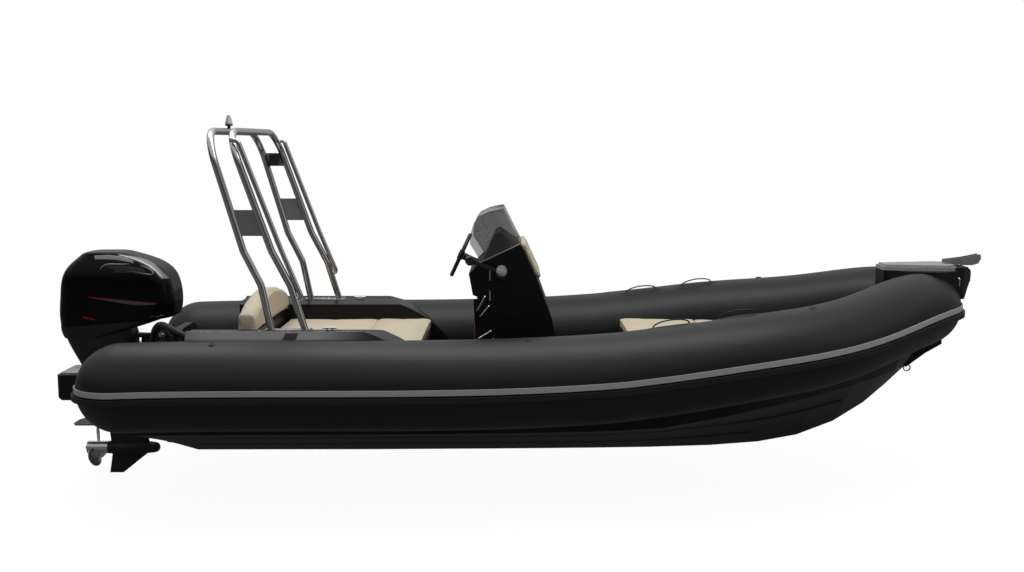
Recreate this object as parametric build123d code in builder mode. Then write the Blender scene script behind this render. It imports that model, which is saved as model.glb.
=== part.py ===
"""A six metre rigid inflatable boat: deep-V hull, inflated collar, console, seats, roll bar and outboard."""
from build123d import *
import os
from math import atan2, copysign, cos, hypot, radians, sin

os.makedirs("parts", exist_ok=True)

# Frame: +X to the bow, +Y to port, +Z up, origin amidships on the centreline at the waterline.

# ---------------------------------------------------------------- driving dimensions (mm)
gap = 0.3                # working clearance between seated pieces
flange_gap = 1.5         # bonding line between the hull flange and the collar

# collar (the inflated tube), starboard half from the stern to the stem
stern_x = -2500          # where the domed tube ends start
collar_bow_x = 2955      # foremost point of the tube centreline
collar_y = 950           # tube centreline to the boat's centreline
collar_stern_z = 283
collar_bow_z = 690
collar_r = 290
collar_bow_r = 256
# share of the length, of the half breadth, of the rise and of the taper, heading in plan (degrees)
collar_stations = [
    (0.000, 1.000, 0.000, 0.00, 0),
    (0.275, 1.000, 0.035, 0.00, 0),
    (0.458, 1.000, 0.073, 0.00, 0),
    (0.587, 1.000, 0.175, 0.05, 2),
    (0.635, 0.992, 0.255, 0.12, 4),
    (0.687, 0.974, 0.348, 0.20, 6),
    (0.801, 0.855, 0.540, 0.45, 16),
    (0.880, 0.660, 0.720, 0.70, 30),
    (0.944, 0.410, 0.920, 0.87, 46),
    (0.984, 0.200, 0.975, 0.96, 66),
    (1.000, 0.000, 1.000, 1.00, 90),
]
bow_joint = 3            # station where the side tube meets the bow tube
collar_spans = (collar_stations[: bow_joint + 1], collar_stations[bow_joint:])

# rubbing strake on the collar
strake_gap = 0.9         # glue line, where the tube bulges a little between its stations
strake_t = 24
strake_wrap = 100        # how far the strake goes round the domed stern end, degrees
strake_h = 34
strake_drop = 34         # centre of the strake below the tube centreline
band_t = 7
band_h = 36
band_rise = 12           # centre of the grey band above the tube centreline

# hull: x, keel z, chine y, chine z, angle of the flange under the collar, half width of the flange
transom_x = -2520
hull_stations = [
    (transom_x, -322, 740, -87, 50, 60),
    (-2300, -386, 740, -86, 50, 60),
    (-1000, -384, 740, -80, 50, 60),
    (-660, -382, 740, -77, 50, 60),
    (-330, -380, 740, -74, 50, 60),
    (0, -378, 740, -70, 50, 60),
    (300, -375, 740, -65, 50, 60),
    (600, -372, 740, -58, 50, 60),
    (1000, -366, 738, -36, 51, 60),
    (1450, -352, 700, 37, 54, 60),
    (1800, -325, 630, 98, 58, 58),
    (2080, -273, 550, 146, 62, 55),
    (2343, -170, 450, 194, 68, 50),
    (2560, -30, 335, 232, 75, 45),
    (2700, 95, 240, 258, 80, 42),
    (2846, 237, 60, 285, 86, 40),
]
chin = [(2780, 300), (2846, 237), (2982, 340), (3096, 406)]
chin_half = 38
chin_gap = 6
well_wall = 80           # hull left standing behind the cockpit
well_y = 655             # half width of the cockpit at the sole
well_fore = [(1000, 655), (1500, 575), (1800, 480), (2050, 360)]
sole_z = 80
sole_t = 20

# transom board and swim platforms
board_t = 60
board_y = 650
board_z = 460            # under the engine clamp
board_high_z = 470
board_end_z = 430
notch_y = 300
platform_aft_x = -3056
platform_y = (320, 640)
platform_z = (126, 300)
tread_t = 14
tread_inset = 22

# coamings beside the stern seat: the top from the inner edge outwards as y and z, and the front end from the side
coaming_z = 622          # the flat that carries the roll bar
coaming_rim = [(600, 602), (700, coaming_z), (790, coaming_z), (850, 638), (905, 566), (905, 430)]
coaming_wall = 40
coaming_aft_x = -2110
coaming_sweep = [(-1000, 642), (-720, 533), (-483, 327)]
coaming_toe_x = -440

# rigging hose from the coaming over the transom board
hose_r = 23
hose_path = [(-2060, -654, 506), (-2215, -640, 587), (-2420, -470, 640), (-2495, -380, 430)]
hose_bends = (140, 140)

# roll bar: legs from the foot up, as x and z
foot_y = 745
bar_r = 24
grab_r = 17
bar_bend = 120
bar_top_bend = 220
foot_t = 8
foot_w = 76
foot_x = (-1624, -1306)
top_z = 1921
aft_leg = [(-1640, 925), (-1748, 1145), (-1973, top_z)]
aft_foot_x = -1575
fore_leg = [(-1447, 918), (-1566, 1150), (-1832, top_z)]
fore_foot_x = -1350
grab_rail = [(-1814, 1868), (-1762, 1856), (-1505, 1160), (-1374, 838), (-1425, 826)]
grab_bend = (24, 150, 24)
side_plate_z = (1245, 1414)
side_plate_t = 6
lamp_plate_z = (1665, 1765)
lamp_box = (70, 46, 86)
light_y = -110
light_r = 26

# stern seat
seat_x = (-1840, -1716, -1033, -625)
seat_y = 596
seat_wall = 15
base_top_z = 410
cushion_t = 90
cushion_y = 590
cushion_gap = 4
back_low_z = 567
back_side_z = 690
back_top_z = 805
back_board_t = 94        # upright behind the cushion that carries the backrest
door_y = 180
door_z = (140, 350)
door_t = 15
door_gap = 4
hinge_r = 6
leaf_t = 3
leaf_w = 24

# console, side profile from the foot of the front face over the top to the foot of the rear face
console_y = 360
console_wall = 12
console_front = [(300, sole_z), (297, 527), (276, 639), (179, 903), (55, 1159)]
console_rear = [(-213, 1034), (-297, 951), (-270, 805), (-160, 760), (-160, sole_z)]
console_cheek = [(-150, sole_z + gap), (-232, sole_z + gap), (-266, 775), (-235, 775), (-235, 795), (-150, 795)]
cheek_wall = 30
console_door_y = 150
console_door_z = (170, 700)
pad_y = 280
pad_t = 26
pod_y = 250
pod = [(-196, 1050), (-118, 1216), (-84, 1233), (34, 1150)]
screen_low_z = 1034
screen_top_z = 1397
screen_t = 6
screen_low = (358, 122, 110)     # half width, foremost x and corner radius at the foot
screen_high = (300, -57, 80)     # the same at the top
screen_side = [
    (-213, 1034), (-290, 1159), (-282, 1235), (-262, 1300), (-227, 1345), (-160, 1375), (-57, 1397), (160, 1397), (160, 1208),
]

# steering wheel
wheel_r = 170
rim_r = 14
wheel_rake = 65          # plane of the rim, degrees from level
wheel_x = -366
wheel_z = 1048
hub_r = 34
boss_l = 150

# throttle on the starboard side of the console
throttle_x = -71
throttle_z = 967
throttle_r = 43
grip_r = 34
grip_w = 54
grip_x = -286
grip_z = 1048

# fire extinguisher behind the console
bottle_r = 34
bottle_h = 250
bottle_x = -231
bottle_y = -232
bottle_z = 362
bottle_clip_z = (440, 500)
bottle_clip_y = 18

# handles on the sides of the console, lower and upper end as x and z
handle_bars = [((-238, 700), (-184, 800)), ((-218, 660), (-157, 735)), ((-232, 505), (-143, 560))]
bar_handle_r = 6
bar_handle_out = 30

# bow lockers: x of the aft, middle and front edges with half breadths
locker_x = (830, 1400, 1950)
locker_y = (600, 560, 400)
locker_z = 400
locker_wall = 15
lid_t = 18
pad_up = 85

# bow moulding
bulkhead_x = (2640, 2660)
bulkhead_low_z = 470
deck_low_z = 947
deck_z = (deck_low_z, 973)
deck_half = [(bulkhead_x[0], 90), (3060, 165), (3120, 150), (3145, 120)]
deck_pad_t = 13
nose_x = bulkhead_x[1] + gap
lip_x = deck_half[-1][0] + gap       # the nose stands up in front of the deck
nose = [
    (nose_x, 900), (nose_x, deck_low_z - gap), (lip_x, deck_low_z - gap), (lip_x, deck_z[1]), (3225, deck_z[1]),
    (3275, 935), (3285, 912), (3238, 830), (3202, 748), (2900, 748),
]
nose_plan = [(nose_x, 88), (2780, 190), (3000, 235), (3190, 150), (3262, 80), (3285, 30)]
cheek_z = deck_z[1] + deck_pad_t + gap
roller_cheek = [
    (3096, cheek_z), (3096, 1016), (3230, 1032), (3345, 1056), (3352, 1024),
    (3332, 988), (3290, 976), (3203, 976), (3203, cheek_z),
]
roller_y = 30
cheek_t = 5
roller_at = (3312, 1014)
roller_r = 24
axle_r = 6

# small deck hardware
eye_x = 2866
eye_z = 226
eye_r = 24
wire_r = 5
nose_eye_x = 3120
nose_eye_z = 876
nose_eye_h = 56
cleat_x = -1196
cleat_y = 745
cleat_l = 90
cleat_h = 18
cleat_r = 6
handle_rows = [(925, 1132, 862), (1362, 1556, 838)]     # aft and forward x, half breadth
handle_h = 42
handle_r = 9

# outboard engine
tilt_z = 505
tilt_x = -2490
tilt_r = 26              # of the swivel's tilt tube
pin_r = 15
pin_head = 12            # how far the tilt pin stands out of the clamps
clamp_y = (82, 104)
swivel_y = 70
steer_x = -2640
swivel_r = 40
swivel_z = (110, 452)
shaft_z = -367
plate_z = -176
plate_half = 105
prop_r = 168
prop_x = (-3103, -2952)
prop_hub_r = 46
prop_pitch = 28
shaft_r = 13
gear_nose_x = -2577
gear_r = 58
parting = [(-3220, 545), (-2440, 615)]     # where the cowl sits on the pan, aft and front, as x and z
cowl_levels = [
    # z, aft x, front x, half width, corner radius
    (520, -3222, -2440, 192, 110),
    (620, -3218, -2418, 205, 115),
    (706, -3213, -2400, 212, 120),
    (834, -3200, -2410, 214, 120),
    (924, -3177, -2447, 204, 110),
    (1001, -3122, -2540, 174, 95),
    (1050, -3068, -2665, 140, 80),
    (1077, -2960, -2800, 92, 50),
]
pan_levels = [
    (462, -3200, -2944, 136, 60),
    (486, -3210, -2862, 150, 70),
    (551, -3221, -2640, 180, 100),
    (630, -3222, -2420, 194, 110),
]
clamp_side = [
    (transom_x - gap, 180), (transom_x - 80, 170), (transom_x - 95, 300), (transom_x - 45, 470),
    (tilt_x - 22, tilt_z + 26), (tilt_x + 24, tilt_z + 26), (tilt_x + 50, board_z + gap),
    (transom_x - gap, board_z + gap),
]
screw_pad = 26           # half width of the clamp screw pads inside the board
screw_low_z = 380
swivel_arm = [
    (tilt_x, tilt_z + 20), (steer_x + 45, swivel_z[1] - 4), (steer_x, swivel_z[1] - 4), (steer_x, 330), (steer_x + 50, 400), (tilt_x - 10, tilt_z - 22),
]
steer_r = 18
yoke_x = -2735
yoke_y = (34, 58)
yoke_t = 24
plate_t = 8
plate_half_outline = [(-2660, 0), (-2700, 60), (-2960, plate_half), (-3150, plate_half), (-3178, 60), (-3178, 0)]
strut_x = (-2806, -2790)
strut_l = 140
strut_t = (42, 34)
gear_tail_x = prop_x[1] + 4
gear_back_x = -2820
gear_bulge_x = -2640
skeg = [(-2670, shaft_z - 45), (-2851, -556), (-2950, -556), (-2925, shaft_z - 40)]
skeg_t = 14
blade_root = 36
blade_half = 66
blade_t = 6
leg_levels = [
    (plate_z + 4, -2985, -2705, 52, 40),
    (60, -3030, -2705, 62, 50),
    (239, -3102, -2712, 85, 60),
    (395, -3171, -2716, 125, 80),
    (486, -3203, -2720, 130, 80),
    (560, -3195, -2760, 130, 80),
]


# ---------------------------------------------------------------- shared geometry
def station(row):
    """Centre, radius, outward direction and forward direction of one collar station."""
    along, out, rise, taper, heading = row
    centre = Vector(
        stern_x + along * (collar_bow_x - stern_x),
        -out * collar_y,
        collar_stern_z + rise * (collar_bow_z - collar_stern_z),
    )
    radius = collar_r + taper * (collar_bow_r - collar_r)
    turn = radians(heading)
    return centre, radius, Vector(sin(turn), -cos(turn), 0), Vector(cos(turn), sin(turn), 0)


def station_plane(row):
    """Upright plane across the tube: local x outward, local y up."""
    centre, radius, outward, forward = station(row)
    return Plane(origin=centre, x_dir=outward, z_dir=forward * -1)


def collar_tube(rows, extra=0):
    """Solid through the circles of these stations, its radius larger by extra."""
    with BuildPart() as tube:
        for row in rows:
            with BuildSketch(station_plane(row)):
                Circle(station(row)[1] + extra)
        loft()
    return tube.part


def stern_dome(extra=0):
    """Half ball that closes the tube behind its first station."""
    centre, radius, outward, forward = station(collar_stations[0])
    with BuildPart() as dome:
        with BuildSketch(Plane(origin=centre, x_dir=(1, 0, 0), z_dir=(0, 0, 1))):
            with BuildLine():
                tip = (-radius - extra, 0)
                CenterArc((0, 0), radius + extra, 90, 90)
                Line(tip, (0, 0))
                Line((0, 0), (0, radius + extra))
            make_face()
        revolve(axis=Axis(centre, (1, 0, 0)))
    return dome.part


def band_along(thick, high, rise):
    """Flat strip that follows the outside of the collar from stern to stem."""
    with BuildPart() as strip:
        for rows in collar_spans:
            sections = []
            for row in rows:
                with BuildSketch(station_plane(row)) as section:
                    with Locations((station(row)[1] + strake_gap + thick / 2, rise)):
                        Rectangle(thick, high)
                sections.append(section.sketch)
            loft(sections=sections)
        first = collar_stations[0]
        with BuildSketch(station_plane(first)) as stern_end:
            with Locations((station(first)[1] + strake_gap + thick / 2, rise)):
                Rectangle(thick, high)
        revolve(stern_end.sketch, axis=Axis(station(first)[0], (0, 0, -1)), revolution_arc=strake_wrap)
    return strip.part


def collar_at(x):
    """Half breadth, height, radius and plan slope of the tube centreline at this x."""
    joint_x = station(collar_stations[bow_joint])[0].X
    rows = [station(row) for row in collar_spans[x > joint_x]]
    line = Spline(*[centre for centre, *_ in rows], mode=Mode.PRIVATE)
    low, high = 0, 1
    for _ in range(30):
        middle = (low + high) / 2
        if (line @ middle).X < x:
            low = middle
        else:
            high = middle
    point, way = line @ low, line % low
    centres = [centre.X for centre, *_ in rows]
    aft = max([i for i, centre in enumerate(centres[:-1]) if centre <= max(x, centres[0])])
    share = max(x - centres[aft], 0) / (centres[aft + 1] - centres[aft])
    radius = rows[aft][1] + share * (rows[aft + 1][1] - rows[aft][1])
    return -point.Y, point.Z, radius, way.Y / way.X


def flange(x, angle, half):
    """Lower and upper end of the hull flange that the tube lies on, as y and z."""
    breadth, height, radius, slope = collar_at(x)
    wide = (radius + flange_gap) * hypot(1, slope)
    tall = radius + flange_gap
    turn = radians(angle)
    touch = (breadth - wide * cos(turn), height - tall * sin(turn))
    run = hypot(wide * sin(turn), tall * cos(turn))
    step = (wide * sin(turn) / run * half, -tall * cos(turn) / run * half)
    return (touch[0] + step[0], touch[1] + step[1]), (touch[0] - step[0], touch[1] - step[1])


def save(part, label):
    """Label a finished piece and write it as a STEP file of that name."""
    part.label = label
    export_step(part, f"parts/{label}.step")


def both_sides(part, label):
    """Write a starboard piece and its mirror image to port as one node."""
    with BuildPart() as pair:
        add(part)
        add(part.mirror(Plane.XZ))
    save(pair.part, label)


# ---------------------------------------------------------------- collar
with BuildPart() as side_tube:
    add(collar_tube(collar_spans[0]))
    add(stern_dome())
both_sides(side_tube.part, "collar_side")

bow_tube = collar_tube(collar_spans[1])
both_sides(bow_tube, "collar_bow")

both_sides(band_along(strake_t, strake_h, -strake_drop), "rubbing_strake")
both_sides(band_along(band_t, band_h, band_rise), "strake_band")

# ---------------------------------------------------------------- hull and sole
well_aft = transom_x + well_wall
well_half = [(well_aft, well_y)] + well_fore
well_outline = well_half + [(x, -y) for x, y in reversed(well_half)]

with BuildPart() as hull:
    for x, keel, chine_y, chine_z, angle, half_width in hull_stations:
        half = [(chine_y, chine_z), *flange(x, angle, half_width)]
        outline = [(0, keel)] + half + [(-y, z) for y, z in reversed(half)]
        with BuildSketch(Plane(origin=(x, 0, 0), x_dir=(0, 1, 0), z_dir=(1, 0, 0))):
            Polygon(*outline, align=None)
    loft(ruled=True)
    with BuildSketch(Plane.XZ):
        with BuildLine():
            seat = collar_bow_z, collar_bow_r + chin_gap
            low = collar_bow_z - collar_bow_r - chin_gap
            last_x, last_z = chin[-1]
            top = seat[0] - (seat[1] ** 2 - (last_x - collar_bow_x) ** 2) ** 0.5
            Polyline((last_x, top), chin[-1], chin[-2], chin[-3], chin[-4], (chin[0][0], low), (collar_bow_x, low))
            RadiusArc((collar_bow_x, low), (last_x, top), -seat[1])
        make_face()
    extrude(amount=chin_half, both=True)
    with BuildSketch(Plane.XY.offset(sole_z - sole_t)):
        Polygon(*well_outline, align=None)
    extrude(amount=1000, mode=Mode.SUBTRACT)
save(hull.part, "hull")

with BuildPart() as sole:
    with BuildSketch(Plane.XY.offset(sole_z - sole_t)):
        Polygon(*well_outline, align=None)
        offset(amount=-1, kind=Kind.INTERSECTION)
    extrude(amount=sole_t)
save(sole.part, "sole")


def slab(plane, points, amount, both=False):
    """Prism of this outline on a plane."""
    with BuildPart() as prism:
        with BuildSketch(plane):
            Polygon(*points, align=None)
        extrude(amount=amount, both=both)
    return prism.part


def block(x, y, z, round_by=0):
    """Box between these limits, its upright edges rounded."""
    with BuildPart() as made:
        with BuildSketch(Plane.XY.offset(z[0])):
            with Locations(((x[0] + x[1]) / 2, (y[0] + y[1]) / 2)):
                if round_by:
                    RectangleRounded(x[1] - x[0], y[1] - y[0], round_by)
                else:
                    Rectangle(x[1] - x[0], y[1] - y[0])
        extrude(amount=z[1] - z[0])
    return made.part


def ring_of(points, radius, radii):
    """Round bar along straight runs joined by tangent arcs."""
    with BuildPart() as bar:
        with BuildLine() as path:
            FilletPolyline(*points, radius=radii)
        with BuildSketch(Plane(origin=path.wire() @ 0, z_dir=path.wire() % 0)):
            Circle(radius)
        sweep()
    return bar.part


def stacked(levels):
    """Smooth solid through rounded rectangles: z, aft x, front x, half width, corner radius."""
    with BuildPart() as shape:
        for z, aft_x, front_x, half_y, corner in levels:
            with BuildSketch(Plane.XY.offset(z)):
                with Locations(((aft_x + front_x) / 2, 0)):
                    RectangleRounded(front_x - aft_x, 2 * half_y, corner)
        loft()
    return shape.part


# ---------------------------------------------------------------- transom and swim platforms
board_foot = flange(transom_x + well_wall, hull_stations[0][4], hull_stations[0][5])[1][1] + gap
with BuildPart() as transom:
    with BuildSketch(Plane.YZ.offset(transom_x)):
        half = [(notch_y - 40, board_z), (notch_y, board_high_z), (board_y - 90, board_high_z), (board_y, board_end_z)]
        rim = half + [(board_y, board_foot)]
        Polygon(*rim, *[(-y, z) for y, z in reversed(rim)], align=None)
    extrude(amount=board_t)
save(transom.part, "transom_board")

platform_x = (platform_aft_x, transom_x - gap)
low_y, high_y = platform_y
with BuildPart() as platform:
    add(block(platform_x, (-high_y, -low_y), platform_z, 40))
    chamfer(platform.faces().sort_by(Axis.Z)[0].edges(), 18)
both_sides(platform.part, "swim_platform")

tread_x = (platform_x[0] + tread_inset, platform_x[1] - tread_inset)
tread_y = (-high_y + tread_inset, -low_y - tread_inset)
tread_z = (platform_z[1], platform_z[1] + tread_t)
both_sides(block(tread_x, tread_y, tread_z, 22), "platform_tread")

# ---------------------------------------------------------------- coamings
inner_y, outer_y = coaming_rim[0][0], coaming_rim[-1][0]
with BuildPart() as coaming:
    with BuildSketch(Plane.YZ.offset(coaming_aft_x)):
        wall_y = inner_y + coaming_wall
        section = [(inner_y, sole_z + gap), *coaming_rim, (wall_y, collar_stern_z), (wall_y, sole_z + gap)]
        Polygon(*[(-y, z) for y, z in section], align=None)
    extrude(amount=coaming_toe_x - coaming_aft_x)
    with BuildSketch(Plane.XZ):
        with BuildLine():
            start, middle, end = coaming_sweep
            ThreePointArc(start, middle, end)
            Line(end, (coaming_toe_x, sole_z))
            far_x = coaming_toe_x + 200
            Polyline((coaming_toe_x, sole_z), (far_x, sole_z), (far_x, coaming_z + 50), (start[0], coaming_z + 50), start)
        make_face()
    extrude(amount=2 * outer_y, mode=Mode.SUBTRACT)
    ends = [Vector(x, -collar_at(x)[0], collar_at(x)[1]) for x in (coaming_aft_x - 50, coaming_toe_x + 50)]
    with BuildSketch(Plane(origin=ends[0], z_dir=ends[1] - ends[0])):
        Circle(collar_r + flange_gap)
    extrude(amount=(ends[1] - ends[0]).length, mode=Mode.SUBTRACT)
    corner = coaming.edges().filter_by(Axis.X).group_by(Axis.Z)[-1]
    fillet(corner.sort_by(Axis.Y)[-1], 14)
both_sides(coaming.part, "coaming")

with BuildPart() as hose:
    add(ring_of(hose_path, hose_r, hose_bends))
    split(bisect_by=Plane.YZ.offset(coaming_aft_x - gap), keep=Keep.BOTTOM)
    split(bisect_by=Plane.XY.offset(board_high_z + gap))
save(hose.part, "rigging_hose")

# ---------------------------------------------------------------- roll bar
def leg_path(foot_x_at, leg):
    """Hoop outline from the starboard foot over the top to the port foot."""
    side = [(foot_x_at, coaming_z - bar_r)] + leg
    return [(x, -foot_y, z) for x, z in side] + [(x, foot_y, z) for x, z in reversed(side)]


def leg_x(foot_x_at, leg, z):
    """Where a leg's centreline is at this height."""
    side = [(foot_x_at, coaming_z - bar_r)] + leg
    for (low_x, low_z), (up_x, up_z) in zip(side, side[1:]):
        if z <= up_z:
            break
    return low_x + (up_x - low_x) * (z - low_z) / (up_z - low_z)


bends = [bar_bend, bar_bend, bar_top_bend, bar_top_bend, bar_bend, bar_bend]
leg_foot = Plane.XY.offset(coaming_z + gap + foot_t + gap)
with BuildPart() as aft_hoop:
    add(ring_of(leg_path(aft_foot_x, aft_leg), bar_r, bends))
    split(bisect_by=leg_foot)
save(aft_hoop.part, "roll_bar_aft_hoop")

with BuildPart() as fore_hoop:
    add(ring_of(leg_path(fore_foot_x, fore_leg), bar_r, bends))
    for side in (-1, 1):
        add(ring_of([(x, side * foot_y, z) for x, z in grab_rail], grab_r, grab_bend))
    split(bisect_by=leg_foot)
save(fore_hoop.part, "roll_bar_fore_hoop")

with BuildPart() as foot_plate:
    add(block(foot_x, (-foot_y - foot_w / 2, -foot_y + foot_w / 2), (coaming_z + gap, coaming_z + gap + foot_t), 12))
    with BuildSketch(Plane.XY.offset(coaming_z + gap + foot_t)):
        with Locations(((foot_x[0] + foot_x[1]) / 2, -foot_y)):
            with GridLocations(foot_x[1] - foot_x[0] - 36, foot_w - 28, 2, 2):
                RegularPolygon(7, 6)
    extrude(amount=5)
both_sides(foot_plate.part, "roll_bar_foot")


def leg_plate(z_range):
    """Outline that fills the space between the two legs, clear of the tubes."""
    low, high = z_range
    aft_low, aft_high = leg_x(aft_foot_x, aft_leg, low), leg_x(aft_foot_x, aft_leg, high)
    fore_low, fore_high = leg_x(fore_foot_x, fore_leg, low), leg_x(fore_foot_x, fore_leg, high)
    rise = high - low
    aft_reach = (bar_r + gap) * hypot(aft_high - aft_low, rise) / rise
    fore_reach = (bar_r + gap) * hypot(fore_high - fore_low, rise) / rise
    return [
        (aft_low + aft_reach, low),
        (fore_low - fore_reach, low),
        (fore_high - fore_reach, high),
        (aft_high + aft_reach, high),
    ]


middle = Plane.XZ.offset(foot_y)
both_sides(slab(middle, leg_plate(side_plate_z), side_plate_t / 2, True), "roll_bar_plate")

lamp_middle = Plane.XZ.offset(-foot_y)
save(slab(lamp_middle, leg_plate(lamp_plate_z), side_plate_t / 2, True), "lamp_bracket")
lamp_x = sum(x for x, z in leg_plate(lamp_plate_z)) / 4
lamp_z = sum(lamp_plate_z) / 2
lamp_y = foot_y - side_plate_t / 2 - gap
length, depth, height = lamp_box
with BuildPart() as lamp:
    add(block((lamp_x - length / 2, lamp_x + length / 2), (lamp_y - depth, lamp_y), (lamp_z - height / 2, lamp_z + height / 2)))
    fillet(lamp.edges().filter_by(Axis.Y), 10)
save(lamp.part, "stern_lamp")

light_x = aft_leg[-1][0]
with BuildPart() as light:
    foot_z = top_z + bar_r + gap
    with Locations((light_x, light_y, foot_z)):
        Cylinder(12, 16, align=(Align.CENTER, Align.CENTER, Align.MIN))
    with Locations((light_x, light_y, foot_z + 16)):
        Cylinder(light_r, 22, align=(Align.CENTER, Align.CENTER, Align.MIN))
    with Locations((light_x, light_y, foot_z + 38)):
        Cone(light_r, 12, 52, align=(Align.CENTER, Align.CENTER, Align.MIN))
save(light.part, "masthead_light")

# ---------------------------------------------------------------- stern seat
back_x, cushion_aft_x, cushion_mid_x, base_x = seat_x
with BuildPart() as seat_base:
    add(block((back_x, base_x), (-seat_y, seat_y), (sole_z + gap, base_top_z)))
    add(block((back_x, back_x + back_board_t), (-cushion_y + 30, cushion_y - 30), (base_top_z, back_low_z)))
    inside_x = (back_x + seat_wall, base_x - seat_wall)
    inside_y = (-seat_y + seat_wall, seat_y - seat_wall)
    add(block(inside_x, inside_y, (sole_z + gap + seat_wall, base_top_z - seat_wall)), mode=Mode.SUBTRACT)
    add(block((base_x - 2 * seat_wall, base_x + 1), (-door_y, door_y), door_z), mode=Mode.SUBTRACT)
save(seat_base.part, "seat_base")

def hinged_door(face_x, out, thick, half_y, z, hinge_y):
    """Flush door in an upright face, with a leaf and barrel over its hinged edge."""
    barrel_x = face_x + out * (hinge_r + gap)
    leaf_end = hinge_y - copysign(leaf_w, hinge_y)
    with BuildPart() as door:
        add(block(sorted((face_x, face_x - out * thick)), (-half_y + door_gap, half_y - door_gap), z))
        add(block(sorted((face_x, face_x + out * leaf_t)), sorted((leaf_end, hinge_y)), (z[0] + 20, z[1] - 20)))
        with Locations((barrel_x, hinge_y, z[0] + 20)):
            Cylinder(hinge_r, z[1] - z[0] - 40, align=(Align.CENTER, Align.CENTER, Align.MIN))
    return door.part


seat_door_z = (door_z[0] + door_gap, door_z[1] - door_gap)
save(hinged_door(base_x, 1, door_t, door_y, seat_door_z, -door_y), "seat_door")

cushion_z = (base_top_z + gap, base_top_z + cushion_t)
side_y = (-cushion_y, cushion_y)
save(block((cushion_aft_x + cushion_gap, cushion_mid_x - cushion_gap / 2), side_y, cushion_z, 30), "seat_cushion_aft")
save(block((cushion_mid_x + cushion_gap / 2, base_x), side_y, cushion_z, 30), "seat_cushion_fore")

with BuildPart() as backrest:
    with BuildSketch(Plane.YZ.offset(back_x)):
        with BuildLine():
            ThreePointArc((-cushion_y, back_side_z), (0, back_top_z), (cushion_y, back_side_z))
            Polyline(
                (cushion_y, back_side_z),
                (cushion_y, back_low_z + gap),
                (-cushion_y, back_low_z + gap),
                (-cushion_y, back_side_z),
            )
        make_face()
    extrude(amount=cushion_aft_x - back_x)
    fillet(backrest.edges().group_by(Axis.Z)[-1], 25)
save(backrest.part, "seat_backrest")

# ---------------------------------------------------------------- console
console_line = console_front + console_rear
with BuildPart() as console:
    with BuildSketch(Plane.XZ):
        Polygon(*[(x, max(z, sole_z + gap)) for x, z in console_line], align=None)
    extrude(amount=console_y, both=True)
    with BuildSketch(Plane.XZ):
        Polygon(*[(x, max(z, sole_z + gap)) for x, z in console_line], align=None)
        offset(amount=-console_wall, kind=Kind.INTERSECTION)
    extrude(amount=console_y - console_wall, both=True, mode=Mode.SUBTRACT)
    rear_x = console_rear[-1][0]
    hole_x = (rear_x - 1, rear_x + 2 * console_wall)
    add(block(hole_x, (-console_door_y, console_door_y), console_door_z), mode=Mode.SUBTRACT)
    for side in (-1, 1):
        with BuildSketch(Plane.XZ.offset(side * (console_y - cheek_wall / 2))):
            Polygon(*console_cheek, align=None)
        extrude(amount=cheek_wall / 2, both=True)
save(console.part, "console")

panel_z = (console_door_z[0] + door_gap, console_door_z[1] - door_gap)
save(hinged_door(rear_x, -1, console_wall, console_door_y, panel_z, console_door_y), "console_door")


def on_line(ends, x):
    """Height at x of the line through two points."""
    (x0, z0), (x1, z1) = ends
    return z0 + (z1 - z0) * (x - x0) / (x1 - x0)


seam = (console_rear[0], console_front[-1])
pod_foot = [(x, on_line(seam, x) + gap) for x in (pod[0][0], pod[-1][0])]
save(slab(Plane.XZ, [pod_foot[0], pod[1], pod[2], pod_foot[1]], pod_y, True), "dash_pod")


def screen_section(z, half_width, front_x, corner):
    """U-shaped section of the windscreen at this height, open to the rear."""
    rear = screen_side[1][0] - 20
    with BuildSketch(Plane.XY.offset(z)) as section:
        for inset, mode in ((0, Mode.ADD), (screen_t, Mode.SUBTRACT)):
            wide, front, bend = half_width - inset, front_x - inset, corner - inset
            with BuildLine():
                Line((rear - inset, -wide), (front - bend, -wide))
                RadiusArc((front - bend, -wide), (front, bend - wide), -bend)
                Line((front, bend - wide), (front, wide - bend))
                RadiusArc((front, wide - bend), (front - bend, wide), -bend)
                Line((front - bend, wide), (rear - inset, wide))
                Line((rear - inset, wide), (rear - inset, -wide))
            make_face(mode=mode)
    return section.sketch


with BuildPart() as windscreen:
    loft(sections=[screen_section(screen_low_z, *screen_low), screen_section(screen_top_z, *screen_high)])
    with BuildSketch(Plane.XZ):
        foot_line = [(x, on_line(seam, x) + gap) for x in (screen_side[-1][0], screen_side[0][0])]
        Polygon(*screen_side[1:-1], *foot_line, align=None)
    extrude(amount=console_y + 20, both=True, mode=Mode.INTERSECT)
save(windscreen.part, "windscreen")

low_front, top_front = console_front[-2], console_front[-1]
face_way = Vector(top_front[0] - low_front[0], 0, top_front[1] - low_front[1])
face_mid = Vector((low_front[0] + top_front[0]) / 2, 0, (low_front[1] + top_front[1]) / 2)
face_out = Vector(face_way.Z, 0, -face_way.X).normalized()
with BuildPart() as console_pad:
    with BuildSketch(Plane(origin=face_mid + face_out * gap, x_dir=(0, 1, 0), z_dir=face_out)):
        RectangleRounded(2 * pad_y, face_way.length - 12, 40)
    extrude(amount=pad_t)
save(console_pad.part, "console_cushion")

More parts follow.
